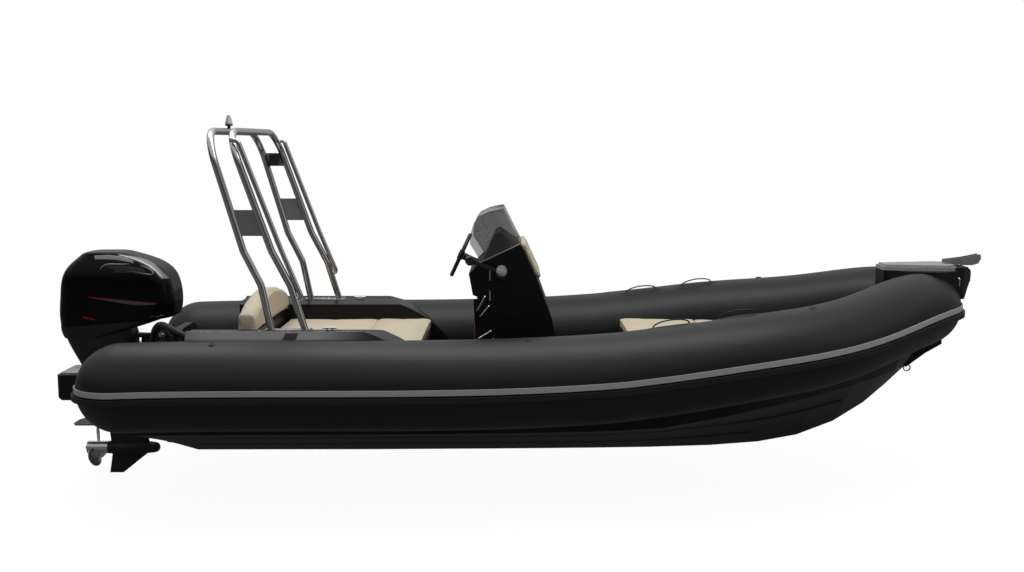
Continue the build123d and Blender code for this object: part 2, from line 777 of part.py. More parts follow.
# ---------------------------------------------------------------- helm
rake = radians(wheel_rake)
wheel_axis = Vector(-sin(rake), 0, cos(rake))
wheel_mid = Vector(wheel_x, 0, wheel_z)
wheel_plane = Plane(origin=wheel_mid, x_dir=(0, 1, 0), z_dir=wheel_axis)
with BuildPart() as wheel:
    with Locations(wheel_plane):
        Torus(wheel_r - rim_r, rim_r)
        Cylinder(hub_r, 40)
    with BuildSketch(wheel_plane.offset(-6)):
        with PolarLocations(0, 3, start_angle=90):
            with Locations((wheel_r / 2, 0)):
                Rectangle(wheel_r - 2 * rim_r, 26)
    extrude(amount=12)
save(wheel.part, "steering_wheel")

with BuildPart() as helm:
    with Locations(wheel_plane.offset(-20 - gap)):
        Cylinder(26, boss_l, align=(Align.CENTER, Align.CENTER, Align.MAX))
    add(console.part, mode=Mode.SUBTRACT)
    boss = helm.solids().sort_by(Axis.X)[0]
save(Part() + boss, "helm")

with BuildPart() as throttle:
    with Locations(Plane(origin=(throttle_x, -console_y - gap, throttle_z), z_dir=(0, -1, 0))):
        Cylinder(throttle_r, 34, align=(Align.CENTER, Align.CENTER, Align.MIN))
    arm = atan2(grip_z - throttle_z, grip_x - throttle_x)
    reach = hypot(grip_z - throttle_z, grip_x - throttle_x)
    arm_y = -console_y - gap - 34
    arm_plane = Plane(origin=(throttle_x, arm_y, throttle_z), x_dir=(cos(arm), 0, sin(arm)), z_dir=(0, -1, 0))
    with BuildSketch(arm_plane):
        with Locations((reach / 2, 0)):
            SlotCenterToCenter(reach, 24)
    extrude(amount=12)
    with BuildSketch(Plane(origin=(grip_x, arm_y - 6, grip_z), x_dir=(1, 0, 0), z_dir=(0, 0, 1))):
        with BuildLine():
            Polyline((0, grip_w / 2), (grip_r - 8, grip_w / 2), (grip_r, grip_w / 4), (grip_r, -grip_w / 4))
            Polyline((grip_r, -grip_w / 4), (grip_r - 8, -grip_w / 2), (0, -grip_w / 2), (0, grip_w / 2))
        make_face()
    revolve(axis=Axis((grip_x, arm_y - 6, grip_z), (0, 1, 0)))
save(throttle.part, "throttle")

with BuildPart() as bottle:
    with Locations((bottle_x, bottle_y, bottle_z)):
        Cylinder(bottle_r, bottle_h, align=(Align.CENTER, Align.CENTER, Align.MIN))
    fillet(bottle.edges().filter_by(GeomType.CIRCLE), 16)
    with Locations((bottle_x, bottle_y, bottle_z + bottle_h)):
        Cylinder(14, 46, align=(Align.CENTER, Align.CENTER, Align.MIN))
    add(block((bottle_x, rear_x - gap), (bottle_y - bottle_clip_y, bottle_y + bottle_clip_y), bottle_clip_z))
save(bottle.part, "fire_extinguisher")

foot_y0, foot_y1 = -console_y - gap, -console_y - bar_handle_out
with BuildPart() as console_handles:
    for (low_x, low_z), (up_x, up_z) in handle_bars:
        bar = [(low_x, foot_y0, low_z), (low_x, foot_y1, low_z), (up_x, foot_y1, up_z), (up_x, foot_y0, up_z)]
        add(ring_of(bar, bar_handle_r, (12, 12)))
both_sides(console_handles.part, "console_handles")

# ---------------------------------------------------------------- bow lockers
locker_half = list(zip(locker_x, locker_y))
locker_outline = locker_half + [(x, -y) for x, y in reversed(locker_half)]
with BuildPart() as locker:
    with BuildSketch(Plane.XY.offset(sole_z + gap)):
        Polygon(*locker_outline, align=None)
    extrude(amount=locker_z - sole_z)
    with BuildSketch(Plane.XY.offset(sole_z + gap + locker_wall)):
        Polygon(*locker_outline, align=None)
        offset(amount=-locker_wall, kind=Kind.INTERSECTION)
    extrude(amount=locker_z - sole_z, mode=Mode.SUBTRACT)
    add(block((locker_x[1] - 20, locker_x[1] + 5), (-locker_y[1] + 1, locker_y[1] - 1), (sole_z + 10, locker_z + gap)))
save(locker.part, "bow_locker")


def locker_part(near, far, inset, z, thick, round_by):
    """Plate or pad over one of the two lockers."""
    (x0, y0), (x1, y1) = locker_half[near], locker_half[far]
    with BuildPart() as made:
        with BuildSketch(Plane.XY.offset(z)) as outline:
            near_x, far_x = x0 + inset, x1 - inset
            near_y, far_y = y0 - inset, y1 - inset
            Polygon((near_x, near_y), (far_x, far_y), (far_x, -far_y), (near_x, -near_y), align=None)
            fillet(outline.vertices(), round_by)
        extrude(amount=thick)
    return made.part


lid_z = locker_z + 2 * gap
pad_z = lid_z + lid_t + gap
save(locker_part(0, 1, 2, lid_z, lid_t, 8), "locker_top")
with BuildPart() as lid:
    add(locker_part(1, 2, 2, lid_z, lid_t, 8))
    with Locations(Plane(origin=(locker_x[2] + 2, 0, lid_z + hinge_r + gap), z_dir=(0, 1, 0))):
        Cylinder(hinge_r, 2 * locker_y[2] - 120)
save(lid.part, "locker_lid")
save(locker_part(0, 1, 4, pad_z, pad_up, 30), "bow_cushion_aft")
save(locker_part(1, 2, 4, pad_z, pad_up, 30), "bow_cushion_fore")

# ---------------------------------------------------------------- bow moulding
bow_room = collar_tube(collar_spans[1], gap)
with BuildPart() as nose_part:
    with BuildSketch(Plane.XZ):
        Polygon(*nose, align=None)
    extrude(amount=nose_plan[2][1], both=True)
    with BuildSketch(Plane.XY.offset(nose[-1][1])):
        Polygon(*nose_plan, *[(x, -y) for x, y in reversed(nose_plan)], align=None)
    extrude(amount=deck_z[1] - nose[-1][1], mode=Mode.INTERSECT)
    add(bow_room, mode=Mode.SUBTRACT)
    add(bow_room.mirror(Plane.XZ), mode=Mode.SUBTRACT)
save(Part() + nose_part.solids().sort_by(SortBy.VOLUME)[-1], "bow_nose")

with BuildPart() as bulkhead:
    add(block(bulkhead_x, (-nose_plan[0][1], nose_plan[0][1]), (bulkhead_low_z, deck_low_z - gap)))
    add(bow_room, mode=Mode.SUBTRACT)
    add(bow_room.mirror(Plane.XZ), mode=Mode.SUBTRACT)
    between = bulkhead.solids().sort_by(SortBy.VOLUME)[-1]
save(Part() + between, "bow_bulkhead")

deck_outline = deck_half + [(x, -y) for x, y in reversed(deck_half)]
deck = slab(Plane.XY.offset(deck_z[0]), deck_outline, deck_z[1] - deck_z[0])
save(deck, "bow_deck")
with BuildPart() as deck_pad:
    with BuildSketch(Plane.XY.offset(deck_z[1])):
        Polygon(*deck_outline, align=None)
        offset(amount=-15, kind=Kind.INTERSECTION)
    extrude(amount=deck_pad_t)
save(deck_pad.part, "bow_tread")

# ---------------------------------------------------------------- deck hardware
with BuildPart() as anchor_roller:
    for side in (-1, 1):
        with BuildSketch(Plane.XZ.offset(-side * roller_y)):
            Polygon(*roller_cheek, align=None)
        extrude(amount=cheek_t / 2, both=True)
    first_x, first_z = roller_cheek[0]
    last_x = roller_cheek[-1][0]
    add(block((first_x, last_x), (-roller_y, roller_y), (first_z, first_z + cheek_t)))
    with Locations(Plane(origin=(roller_at[0], 0, roller_at[1]), z_dir=(0, 1, 0))):
        Cylinder(axle_r, 2 * roller_y + cheek_t + 6)
save(anchor_roller.part, "anchor_roller_cheeks")
with BuildPart() as roller_wheel:
    with Locations(Plane(origin=(roller_at[0], 0, roller_at[1]), z_dir=(0, 1, 0))):
        Cylinder(roller_r, 2 * roller_y - cheek_t - 2 * gap)
        Cylinder(axle_r + gap, 2 * roller_y, mode=Mode.SUBTRACT)
save(roller_wheel.part, "anchor_roller")

with BuildPart() as bow_eye:
    with Locations(Plane(origin=(eye_x, 0, eye_z), z_dir=(0, 1, 0))):
        Torus(eye_r, wire_r)
    add(hull.part, mode=Mode.SUBTRACT)
save(Part() + bow_eye.solids().sort_by(SortBy.VOLUME)[-1], "bow_eye")

with BuildPart() as nose_eye:
    (aft_x, aft_y), (fore_x, fore_y) = nose_plan[2:4]
    out_way = Vector(aft_y - fore_y, aft_x - fore_x, 0).normalized()
    side_y = -aft_y + (aft_y - fore_y) * (nose_eye_x - aft_x) / (fore_x - aft_x)
    start = Vector(nose_eye_x, side_y, nose_eye_z + nose_eye_h / 2) - out_way * 12
    end = start - Vector(0, 0, nose_eye_h)
    add(ring_of([start, start + out_way * 46, end + out_way * 46, end], wire_r, (14, 14)))
    add(nose_part.part, mode=Mode.SUBTRACT)
both_sides(Part() + nose_eye.solids().sort_by(SortBy.VOLUME)[-1], "nose_eye")

with BuildPart() as cleat:
    foot_z = coaming_z + gap
    with Locations((cleat_x, -cleat_y, foot_z)):
        Box(2 * cleat_l / 3, 3 * cleat_r, cleat_r, align=(Align.CENTER, Align.CENTER, Align.MIN))
    with Locations((cleat_x - cleat_l / 5, -cleat_y, foot_z), (cleat_x + cleat_l / 5, -cleat_y, foot_z)):
        Cylinder(cleat_r, cleat_h, align=(Align.CENTER, Align.CENTER, Align.MIN))
    with Locations(Plane(origin=(cleat_x, -cleat_y, foot_z + cleat_h), z_dir=(1, 0, 0))):
        Cylinder(cleat_r, cleat_l)
both_sides(cleat.part, "cleat")

with BuildPart() as handles:
    for aft_x, fore_x, breadth in handle_rows:
        ends = []
        for x in (aft_x, fore_x):
            tube_y, tube_z, radius, slope = collar_at(x)
            ends.append((x, -breadth, tube_z + (radius**2 - (tube_y - breadth) ** 2) ** 0.5 - 2))
        low, high = ends
        lean = (fore_x - aft_x) / 7
        top = [(low[0] + lean, low[1], low[2] + handle_h), (high[0] - lean, high[1], high[2] + handle_h)]
        add(ring_of([low, *top, high], handle_r, (30, 30)))
    add(bow_tube, mode=Mode.SUBTRACT)
both_sides(handles.part, "grab_handles")

# ---------------------------------------------------------------- outboard
with BuildPart() as clamp:
    for side in (-1, 1):
        inner, outer = clamp_y
        y = side * (inner + outer) / 2
        with BuildSketch(Plane.XZ.offset(-y)):
            Polygon(*clamp_side, align=None)
        extrude(amount=(outer - inner) / 2, both=True)
    with Locations(Plane(origin=(tilt_x, 0, tilt_z), z_dir=(0, 1, 0))):
        Cylinder(pin_r, 2 * (clamp_y[1] + pin_head))
    for side in (-1, 1):
        y = side * (clamp_y[0] + clamp_y[1]) / 2
        inside_x = transom_x + board_t + gap
        half_t = (outer - inner) / 2
        add(block((inside_x, inside_x + 30), (y - screw_pad, y + screw_pad), (screw_low_z, board_z + 20)))
        add(block((transom_x + 20, inside_x + 30), (y - half_t, y + half_t), (board_z + gap, board_z + 20)))
save(clamp.part, "clamp_bracket")

with BuildPart() as swivel:
    with Locations(Plane(origin=(tilt_x, 0, tilt_z), z_dir=(0, 1, 0))):
        Cylinder(tilt_r, 2 * swivel_y)
    with Locations((steer_x, 0, swivel_z[0])):
        Cylinder(swivel_r, swivel_z[1] - swivel_z[0], align=(Align.CENTER, Align.CENTER, Align.MIN))
    with BuildSketch(Plane.XZ):
        Polygon(*swivel_arm, align=None)
    extrude(amount=swivel_y - 12, both=True)
    with Locations(Plane(origin=(tilt_x, 0, tilt_z), z_dir=(0, 1, 0))):
        Cylinder(pin_r + gap, 4 * swivel_y, mode=Mode.SUBTRACT)
    with Locations((steer_x, 0, 0)):
        Cylinder(steer_r + gap, 2 * tilt_z, align=(Align.CENTER, Align.CENTER, Align.MIN), mode=Mode.SUBTRACT)
save(swivel.part, "swivel_bracket")

(aft_x, aft_z), (fore_x, fore_z) = parting
seam_up = Vector(aft_z - fore_z, 0, fore_x - aft_x).normalized()
seam_plane = Plane(origin=(aft_x, 0, aft_z), x_dir=(0, 1, 0), z_dir=seam_up)
with BuildPart() as cowl:
    add(stacked(cowl_levels))
    split(bisect_by=seam_plane.offset(gap), keep=Keep.TOP)
save(cowl.part, "engine_cowl")
with BuildPart() as pan:
    add(stacked(pan_levels))
    split(bisect_by=seam_plane, keep=Keep.BOTTOM)
save(pan.part, "engine_pan")
with BuildPart() as midsection:
    add(stacked(leg_levels))
    add(pan.part, mode=Mode.SUBTRACT)
leg = Part() + midsection.solids().sort_by(SortBy.VOLUME)[-1]
save(leg, "drive_leg")

with BuildPart() as yoke:
    near_y, far_y = yoke_y
    for z in (swivel_z[1] + 2, swivel_z[0] - yoke_t - 2):
        with BuildSketch(Plane.XY.offset(z)):
            with Locations((steer_x, 0)):
                Circle(near_y)
            Polygon((steer_x, near_y), (steer_x, -near_y), (yoke_x, -far_y), (yoke_x, far_y), align=None)
        extrude(amount=yoke_t)
    with Locations((steer_x, 0, swivel_z[0] - yoke_t)):
        Cylinder(steer_r, swivel_z[1] - swivel_z[0] + 2 * yoke_t, align=(Align.CENTER, Align.CENTER, Align.MIN))
    add(leg, mode=Mode.SUBTRACT)
save(yoke.part, "steering_yoke")

with BuildPart() as gearcase:
    with BuildSketch(Plane.XY.offset(plate_z - plate_t / 2)):
        with BuildLine():
            Polyline(*plate_half_outline)
            mirror(about=Plane.XZ)
        make_face()
    extrude(amount=plate_t)
    for x, z, thick in zip(strut_x, (plate_z - plate_t / 2, shaft_z), strut_t):
        with BuildSketch(Plane.XY.offset(z)):
            with Locations((x, 0)):
                Ellipse(strut_l, thick)
    loft()
    with BuildSketch(Plane.XZ):
        with BuildLine():
            nose_tip, tail = (gear_nose_x, shaft_z), (gear_tail_x, shaft_z)
            full = (gear_back_x, shaft_z + gear_r)
            Polyline(nose_tip, tail, (gear_tail_x, shaft_z + prop_hub_r), full)
            Spline(full, (gear_bulge_x, shaft_z + 0.72 * gear_r), nose_tip, tangents=[(1, 0), (0, -1)])
        make_face()
    revolve(axis=Axis((0, 0, shaft_z), (1, 0, 0)))
    with BuildSketch(Plane.XZ):
        Polygon(*skeg, align=None)
    extrude(amount=skeg_t / 2, both=True)
    with Locations(Plane(origin=(gear_tail_x, 0, shaft_z), z_dir=(-1, 0, 0))):
        Cylinder(shaft_r, prop_x[1] - prop_x[0] + 20, align=(Align.CENTER, Align.CENTER, Align.MIN))
save(gearcase.part, "gearcase")

with BuildPart() as propeller:
    hub_l = prop_x[1] - prop_x[0]
    hub_mid = (prop_x[0] + prop_x[1]) / 2
    with Locations(Plane(origin=(hub_mid, 0, shaft_z), z_dir=(1, 0, 0))):
        Cylinder(prop_hub_r, hub_l)
    for turn in (90, 210, 330):
        spin = radians(turn)
        root = Vector(0, cos(spin), sin(spin))
        across = Vector(1, 0, 0).cross(root)
        tip_way = across * cos(radians(prop_pitch)) + Vector(1, 0, 0) * sin(radians(prop_pitch))
        blade = Plane(origin=(hub_mid, 0, shaft_z), x_dir=root, z_dir=tip_way.cross(root))
        with BuildSketch(blade):
            with Locations(((prop_r + blade_root) / 2, 0)):
                Ellipse((prop_r - blade_root) / 2, blade_half)
        extrude(amount=blade_t / 2, both=True)
    with Locations(Plane(origin=(hub_mid, 0, shaft_z), z_dir=(1, 0, 0))):
        Cylinder(shaft_r + gap, 2 * hub_l, mode=Mode.SUBTRACT)
save(propeller.part, "propeller")
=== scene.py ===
import bpy, bmesh, math
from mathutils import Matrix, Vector
from mathutils.bvhtree import BVHTree


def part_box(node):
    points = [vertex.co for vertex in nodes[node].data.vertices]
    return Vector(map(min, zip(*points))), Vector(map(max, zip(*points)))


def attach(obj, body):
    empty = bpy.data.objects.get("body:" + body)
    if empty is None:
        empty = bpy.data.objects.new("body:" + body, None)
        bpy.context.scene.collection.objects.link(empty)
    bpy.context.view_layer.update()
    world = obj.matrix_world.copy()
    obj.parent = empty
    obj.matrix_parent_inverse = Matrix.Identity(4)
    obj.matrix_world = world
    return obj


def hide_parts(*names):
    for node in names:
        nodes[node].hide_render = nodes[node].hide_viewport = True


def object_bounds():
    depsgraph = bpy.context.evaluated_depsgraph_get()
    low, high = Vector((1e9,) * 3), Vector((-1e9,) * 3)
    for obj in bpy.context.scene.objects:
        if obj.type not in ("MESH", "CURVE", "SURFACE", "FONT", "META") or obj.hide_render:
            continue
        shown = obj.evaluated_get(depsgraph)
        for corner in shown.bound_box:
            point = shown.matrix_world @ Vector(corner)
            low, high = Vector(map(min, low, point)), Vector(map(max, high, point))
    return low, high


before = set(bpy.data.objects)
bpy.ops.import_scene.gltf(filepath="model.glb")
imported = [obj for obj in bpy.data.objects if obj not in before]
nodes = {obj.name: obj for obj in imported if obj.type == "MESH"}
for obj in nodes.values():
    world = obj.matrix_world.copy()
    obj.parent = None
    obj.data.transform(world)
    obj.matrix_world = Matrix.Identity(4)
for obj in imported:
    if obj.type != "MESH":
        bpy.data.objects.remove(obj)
cad_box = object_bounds()

# ------------------------------------------------------------------ studio
# A long pale floor between dim walls, under one wide soft lamp with a small one off the bow.
# The camera stands off the starboard beam, a little above the tubes, and looks slightly down.
scene = bpy.context.scene
scene.view_settings.view_transform = "Standard"

sensor_mm, focal_px, frame_px = 36, 1135, 1024
camera_off, camera_up, look_down = 8.1, 1.857, 7.28
lens = bpy.data.cameras.new("beam_camera")
lens.sensor_width, lens.lens = sensor_mm, focal_px / frame_px * sensor_mm
camera = bpy.data.objects.new("beam_camera", lens)
scene.collection.objects.link(camera)
camera.location = (0, -camera_off, camera_up)
camera.rotation_euler = (math.radians(90 - look_down), 0, 0)
scene.camera = camera


class Value:
    """One output of a node tree. Sums and products of values add their own maths nodes."""

    def __init__(self, tree, socket):
        self.tree, self.socket = tree, socket

    def maths(self, operation, *others):
        sockets = {i: value for i, value in enumerate((self, *others))}
        return self.tree.node("ShaderNodeMath", {"operation": operation}, sockets)

    def __add__(self, other): return self.maths("ADD", other)
    def __sub__(self, other): return self.maths("SUBTRACT", other)
    def __mul__(self, other): return self.maths("MULTIPLY", other)
    def __truediv__(self, other): return self.maths("DIVIDE", other)
    def __rsub__(self, other): return (self * -1) + other
    __radd__, __rmul__ = __add__, __mul__

    def over(self, low, high):
        """0 below low, 1 above high, and a soft ramp between them."""
        settings = {"interpolation_type": "SMOOTHSTEP"}
        return self.tree.node("ShaderNodeMapRange", settings, {0: self, 1: low, 2: high})

    def near(self, centre, reach):
        """1 at centre, falling to 0 at reach from it."""
        return 1 - (self - centre).maths("ABSOLUTE").over(0, reach)

    def within(self, low, high, soft=0.001):
        """1 between low and high."""
        return self.over(low - soft, low + soft) * (1 - self.over(high - soft, high + soft))


class Tree:
    """A node tree and the one call that adds to it."""

    def __init__(self, tree, out_kind):
        self.tree = tree
        tree.nodes.clear()
        self.out = tree.nodes.new(out_kind)

    def node(self, kind, settings=None, sockets=None, out=0):
        made = self.tree.nodes.new(kind)
        for name, value in (settings or {}).items():
            setattr(made, name, value)
        for name, value in (sockets or {}).items():
            self.put(made.inputs[name], value)
        return Value(self, made.outputs[out])

    def put(self, socket, value):
        if isinstance(value, Value):
            self.tree.links.new(value.socket, socket)
        else:
            socket.default_value = value

    def axis(self, which, kind="Object"):
        """One coordinate of the surface point, in metres."""
        where = self.node("ShaderNodeTexCoord", out=kind)
        return self.node("ShaderNodeSeparateXYZ", sockets={0: where}, out=which)

    def noise(self, scale, detail=3, stretch=(1, 1, 1)):
        """Cloudy variation from 0 to 1, drawn out along an axis by a small stretch."""
        where = self.node("ShaderNodeTexCoord", out="Object")
        spread = self.node("ShaderNodeVectorMath", {"operation": "MULTIPLY"}, {0: where, 1: stretch})
        return self.node("ShaderNodeTexNoise", None, {"Vector": spread, "Scale": scale, "Detail": detail})

    def tint(self, share, low, high):
        """Colour between low and high by share."""
        low, high = (colour if isinstance(colour, Value) else (*colour, 1) for colour in (low, high))
        return self.node("ShaderNodeMix", {"data_type": "RGBA"}, {0: share, 6: low, 7: high}, out=2)


def path_ray(tree, *kinds):
    """1 where the ray is of one of these kinds."""
    total = tree.node("ShaderNodeLightPath", out=kinds[0])
    for kind in kinds[1:]:
        total = total + tree.node("ShaderNodeLightPath", out=kind)
    return total.maths("MINIMUM", 1)


world = bpy.data.worlds.new("hangar")
world.use_nodes = True
scene.world = world
sky = Tree(world.node_tree, "ShaderNodeOutputWorld")
east, north, up = (sky.axis(i, "Generated") for i in range(3))
walls = 0.055 + 0.55 * up.over(0.15, 0.6) + 0.30 * north.over(0.1, 0.9) + 0.10 * east.over(0.4, 0.85)
seen = path_ray(sky, "Is Camera Ray")
white = (1, 1, 1, 1)
backdrop = sky.node("ShaderNodeBackground", None, {"Color": white, "Strength": seen + (1 - seen) * walls})
sky.put(sky.out.inputs[0], backdrop)

for label, place, aim, size, watts in (
    ("roof_softbox", (-0.3, -0.4, 5.2), (0, 0.2, 0), (9.0, 2.2), 235),
    ("bow_softbox", (6.8, -3.2, 2.6), (0.8, 0, 0.4), (2.6, 2.6), 14),
):
    lamp = bpy.data.lights.new(label, "AREA")
    lamp.shape, lamp.size, lamp.size_y, lamp.energy = "RECTANGLE", *size, watts
    rig = bpy.data.objects.new(label, lamp)
    scene.collection.objects.link(rig)
    rig.location = place
    rig.rotation_euler = (Vector(aim) - Vector(place)).to_track_quat("-Z", "Y").to_euler()

floor_size, floor_gap = 70, 0.004
bpy.ops.mesh.primitive_plane_add(size=floor_size, location=(0, 0, cad_box[0][2] - floor_gap))
floor = bpy.context.object
floor.name = "hangar_floor"
paint = bpy.data.materials.new("pale_floor")
paint.use_nodes = True
floor.data.materials.append(paint)
ground = Tree(paint.node_tree, "ShaderNodeOutputMaterial")
matt = ground.node("ShaderNodeBsdfDiffuse", None, {"Color": (0.09, 0.09, 0.09, 1)})
mirrored = path_ray(ground, "Is Glossy Ray", "Is Transmission Ray")
shine = 0.95 * path_ray(ground, "Is Camera Ray") + 0.08 * mirrored
glow = ground.node("ShaderNodeEmission", None, {"Color": white, "Strength": shine})
ground.put(ground.out.inputs[0], ground.node("ShaderNodeAddShader", None, {0: matt, 1: glow}))

# ------------------------------------------------------------------ collar
# Four long air chambers of black coated fabric, cut in panels, lapped and glued, then blown up hard.
# The cloth's fine weave shows under the coating, and each panel's lap stands a little proud.


class Finish(Tree):
    """A surface finish made of nodes, for the pieces that wear it."""

    def __init__(self, label, **fixed):
        self.material = bpy.data.materials.new(label)
        self.material.use_nodes = True
        super().__init__(self.material.node_tree, "ShaderNodeOutputMaterial")
        self.surface = self.tree.nodes.new("ShaderNodeBsdfPrincipled")
        self.tree.links.new(self.surface.outputs[0], self.out.inputs[0])
        self.set(**fixed)

    def set(self, **sockets):
        for name, value in sockets.items():
            value = (*value, 1) if isinstance(value, tuple) else value
            self.put(self.surface.inputs[name.replace("_", " ")], value)
        return self

    def bump(self, height, distance=0.001, strength=1.0):
        """Fine relief, its depth in metres."""
        sockets = {"Height": height, "Distance": distance, "Strength": strength}
        return self.set(Normal=self.node("ShaderNodeBump", None, sockets))


def wear(finish, *pieces):
    """Gives these CAD nodes or new pieces this finish."""
    for piece in pieces:
        thing = nodes[piece] if isinstance(piece, str) else piece
        thing.data.materials.clear()
        thing.data.materials.append(finish.material)


cloth = Finish("coated_fabric", Specular_IOR_Level=0.36)
along, upward = cloth.axis(0), cloth.axis(2)
patch, grain = cloth.noise(2.2, 4), cloth.noise(900, 2)
lap_half, threads = 0.0016, 2600
lap = sum((along.near(x, lap_half) for x in (-1.62, -0.55, 0.55)), along.near(1.62, lap_half))
weave = (along * threads).maths("SINE") * (upward * threads).maths("SINE")
cloth.set(Base_Color=cloth.tint(patch, (0.006, 0.006, 0.0065), (0.010, 0.010, 0.011)))
cloth.set(Roughness=0.40 + 0.10 * patch + 0.05 * grain)
cloth.bump(weave * 0.12 + grain * 0.25 + patch * 0.5 + lap * 0.8, 0.0006, 0.35)
wear(cloth, "collar_side", "collar_bow")

# ------------------------------------------------------------------ rubbing strake and band
# A D-section of black extruded rubber glued round the collar, with a smooth grey band above it.
# Both come in long lengths, bent round the stem and round the domed stern ends.
rubber = Finish("strake_rubber", Specular_IOR_Level=0.3)
scuff = rubber.noise(60, 5, (0.15, 1, 1))
rubber.set(Base_Color=rubber.tint(scuff, (0.008, 0.008, 0.009), (0.020, 0.020, 0.021)))
rubber.set(Roughness=0.48 + 0.22 * scuff)
rubber.bump(rubber.noise(420, 3) + scuff, 0.0005, 0.4)
wear(rubber, "rubbing_strake", "anchor_roller")

band = Finish("grey_band", Specular_IOR_Level=0.3)
grime = band.noise(9, 5, (0.2, 1, 1))
band.set(Base_Color=band.tint(grime, (0.43, 0.435, 0.44), (0.51, 0.515, 0.52)))
band.set(Roughness=0.45 + 0.15 * grime)
band.bump(band.noise(500, 2), 0.0004, 0.3)
wear(band, "strake_band")

# ------------------------------------------------------------------ hull
# A deep-V shell of black gelcoat over glass mat, laid up in a polished mould.
# Two spray rails a side are moulded in, and the bottom has dulled where it is beached.
gelcoat = Finish("black_gelcoat")
ripple, dust = gelcoat.noise(3.5, 3), gelcoat.noise(35, 6)
dull = 1 - gelcoat.axis(2).over(-0.25, 0.1)
gelcoat.set(Base_Color=gelcoat.tint(dust, (0.005, 0.005, 0.0055), (0.011, 0.011, 0.012)))
gelcoat.set(Roughness=0.34 + 0.12 * dust + 0.12 * dull, Specular_IOR_Level=0.24)
gelcoat.bump(ripple + 0.04 * gelcoat.noise(700, 2), 0.002, 0.25)
wear(gelcoat, "hull", "transom_board", "swim_platform", "seat_base", "seat_door", "bow_bulkhead")
wear(gelcoat, "console_door", "bow_locker", "locker_top", "locker_lid", "bow_nose", "dash_pod")


def skin(thing):
    """Search tree over a node's or piece's surface."""
    mesh = (nodes[thing] if isinstance(thing, str) else thing).data
    return BVHTree.FromPolygons([v.co for v in mesh.vertices], [p.vertices for p in mesh.polygons])


def shaped(label, points, faces, sharp=35):
    """Mesh of these points and faces, welded, closed at its poles and smooth but for its sharp edges."""
    shape = bmesh.new()
    corners = [shape.verts.new(point) for point in points]
    for face in faces:
        shape.faces.new([corners[i] for i in face])
    bmesh.ops.remove_doubles(shape, verts=shape.verts, dist=1e-6)
    bmesh.ops.recalc_face_normals(shape, faces=shape.faces)
    mesh = bpy.data.meshes.new(label)
    shape.to_mesh(mesh)
    shape.free()
    mesh.shade_smooth()
    mesh.set_sharp_from_angle(angle=math.radians(sharp))
    return mesh


def fit(label, solid, finish, body, sharp=35):
    """Adds points and faces as a piece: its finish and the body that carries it."""
    thing = bpy.data.objects.new(label, shaped(label, *solid, sharp))
    scene.collection.objects.link(thing)
    wear(finish, thing)
    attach(thing, body)
    return thing


def loops(rings, closed=False):
    """Points and faces of a skin through rings of equally many points, its open ends capped."""
    count = len(rings[0])
    points = [point for ring in rings for point in ring]
    faces = []
    for i in range(len(rings) if closed else len(rings) - 1):
        near, far = i * count, (i + 1) % len(rings) * count
        faces += [(near + j, near + (j + 1) % count, far + (j + 1) % count, far + j) for j in range(count)]
    if not closed:
        faces += [tuple(range(count)), tuple(range(len(points) - count, len(points)))[::-1]]
    return points, faces


def together(*shapes):
    """Several sets of points and faces as one."""
    points, faces = [], []
    for more_points, more_faces in shapes:
        faces += [tuple(i + len(points) for i in face) for face in more_faces]
        points += more_points
    return points, faces


def smooth_line(points, steps=6):
    """Points of a smooth curve through these points."""
    points = [Vector(point) for point in points]
    padded = [2 * points[0] - points[1], *points, 2 * points[-1] - points[-2]]
    line = []
    for a, b, c, d in zip(padded, padded[1:], padded[2:], padded[3:]):
        for i in range(steps):
            t = i / steps
            square, cube = 2 * a - 5 * b + 4 * c - d, 3 * b - a - 3 * c + d
            line.append(0.5 * (2 * b + (c - a) * t + square * t**2 + cube * t**3))
    return line + [points[-1]]


spray_rails = {
    # height of the rail at a few stations along the boat
    "lower": [(-2.44, -0.140), (-1.0, -0.142), (0.3, -0.132), (0.99, -0.100), (1.69, -0.058), (2.315, 0.044)],
    "inner": [(-2.44, -0.262), (-1.0, -0.262), (0.3, -0.255), (0.99, -0.240), (1.69, -0.205)],
}
rail_out, rail_up = 0.016, 0.030
sunk_in, sunk_up = 0.004, 0.002
hull_skin = skin("hull")
for label, heights in spray_rails.items():
    sides = []
    for side in (-1, 1):
        rings = []
        for x, _, z in smooth_line([(x, 0, z) for x, z in heights]):
            low, out, *_ = hull_skin.ray_cast(Vector((x, 2 * side, z)), Vector((0, -side, 0)))
            top, *_ = hull_skin.ray_cast(Vector((x, 2 * side, z + rail_up)), Vector((0, -side, 0)))
            if low and top:
                sunk = Vector((0, -sunk_in * side, sunk_up))
                rings.append([low + sunk, low + Vector((0, rail_out * side, 0)), top + sunk])
        sides.append(loops(rings))
    fit(f"spray_rail_{label}", together(*sides), gelcoat, "boat")

# ------------------------------------------------------------------ treads and sole
# Closed-cell foam, routed at its edges and glued down, on the stern platforms and the bow deck.
# The cockpit sole has a coarse non-slip paint instead.
decking = Finish("deck_foam", Specular_IOR_Level=0.2)
speck = decking.noise(260, 4)
decking.set(Base_Color=decking.tint(speck.over(0.35, 0.65), (0.20, 0.20, 0.205), (0.42, 0.42, 0.425)))
decking.set(Roughness=0.75)
decking.bump(speck, 0.0012, 0.7)
wear(decking, "platform_tread", "bow_deck", "bow_tread")

grip = Finish("sole_paint", Specular_IOR_Level=0.25)
pip = grip.noise(170, 3)
grip.set(Base_Color=grip.tint(pip, (0.018, 0.018, 0.019), (0.040, 0.040, 0.042)), Roughness=0.8)
grip.bump(pip, 0.001, 0.6)
wear(grip, "sole")

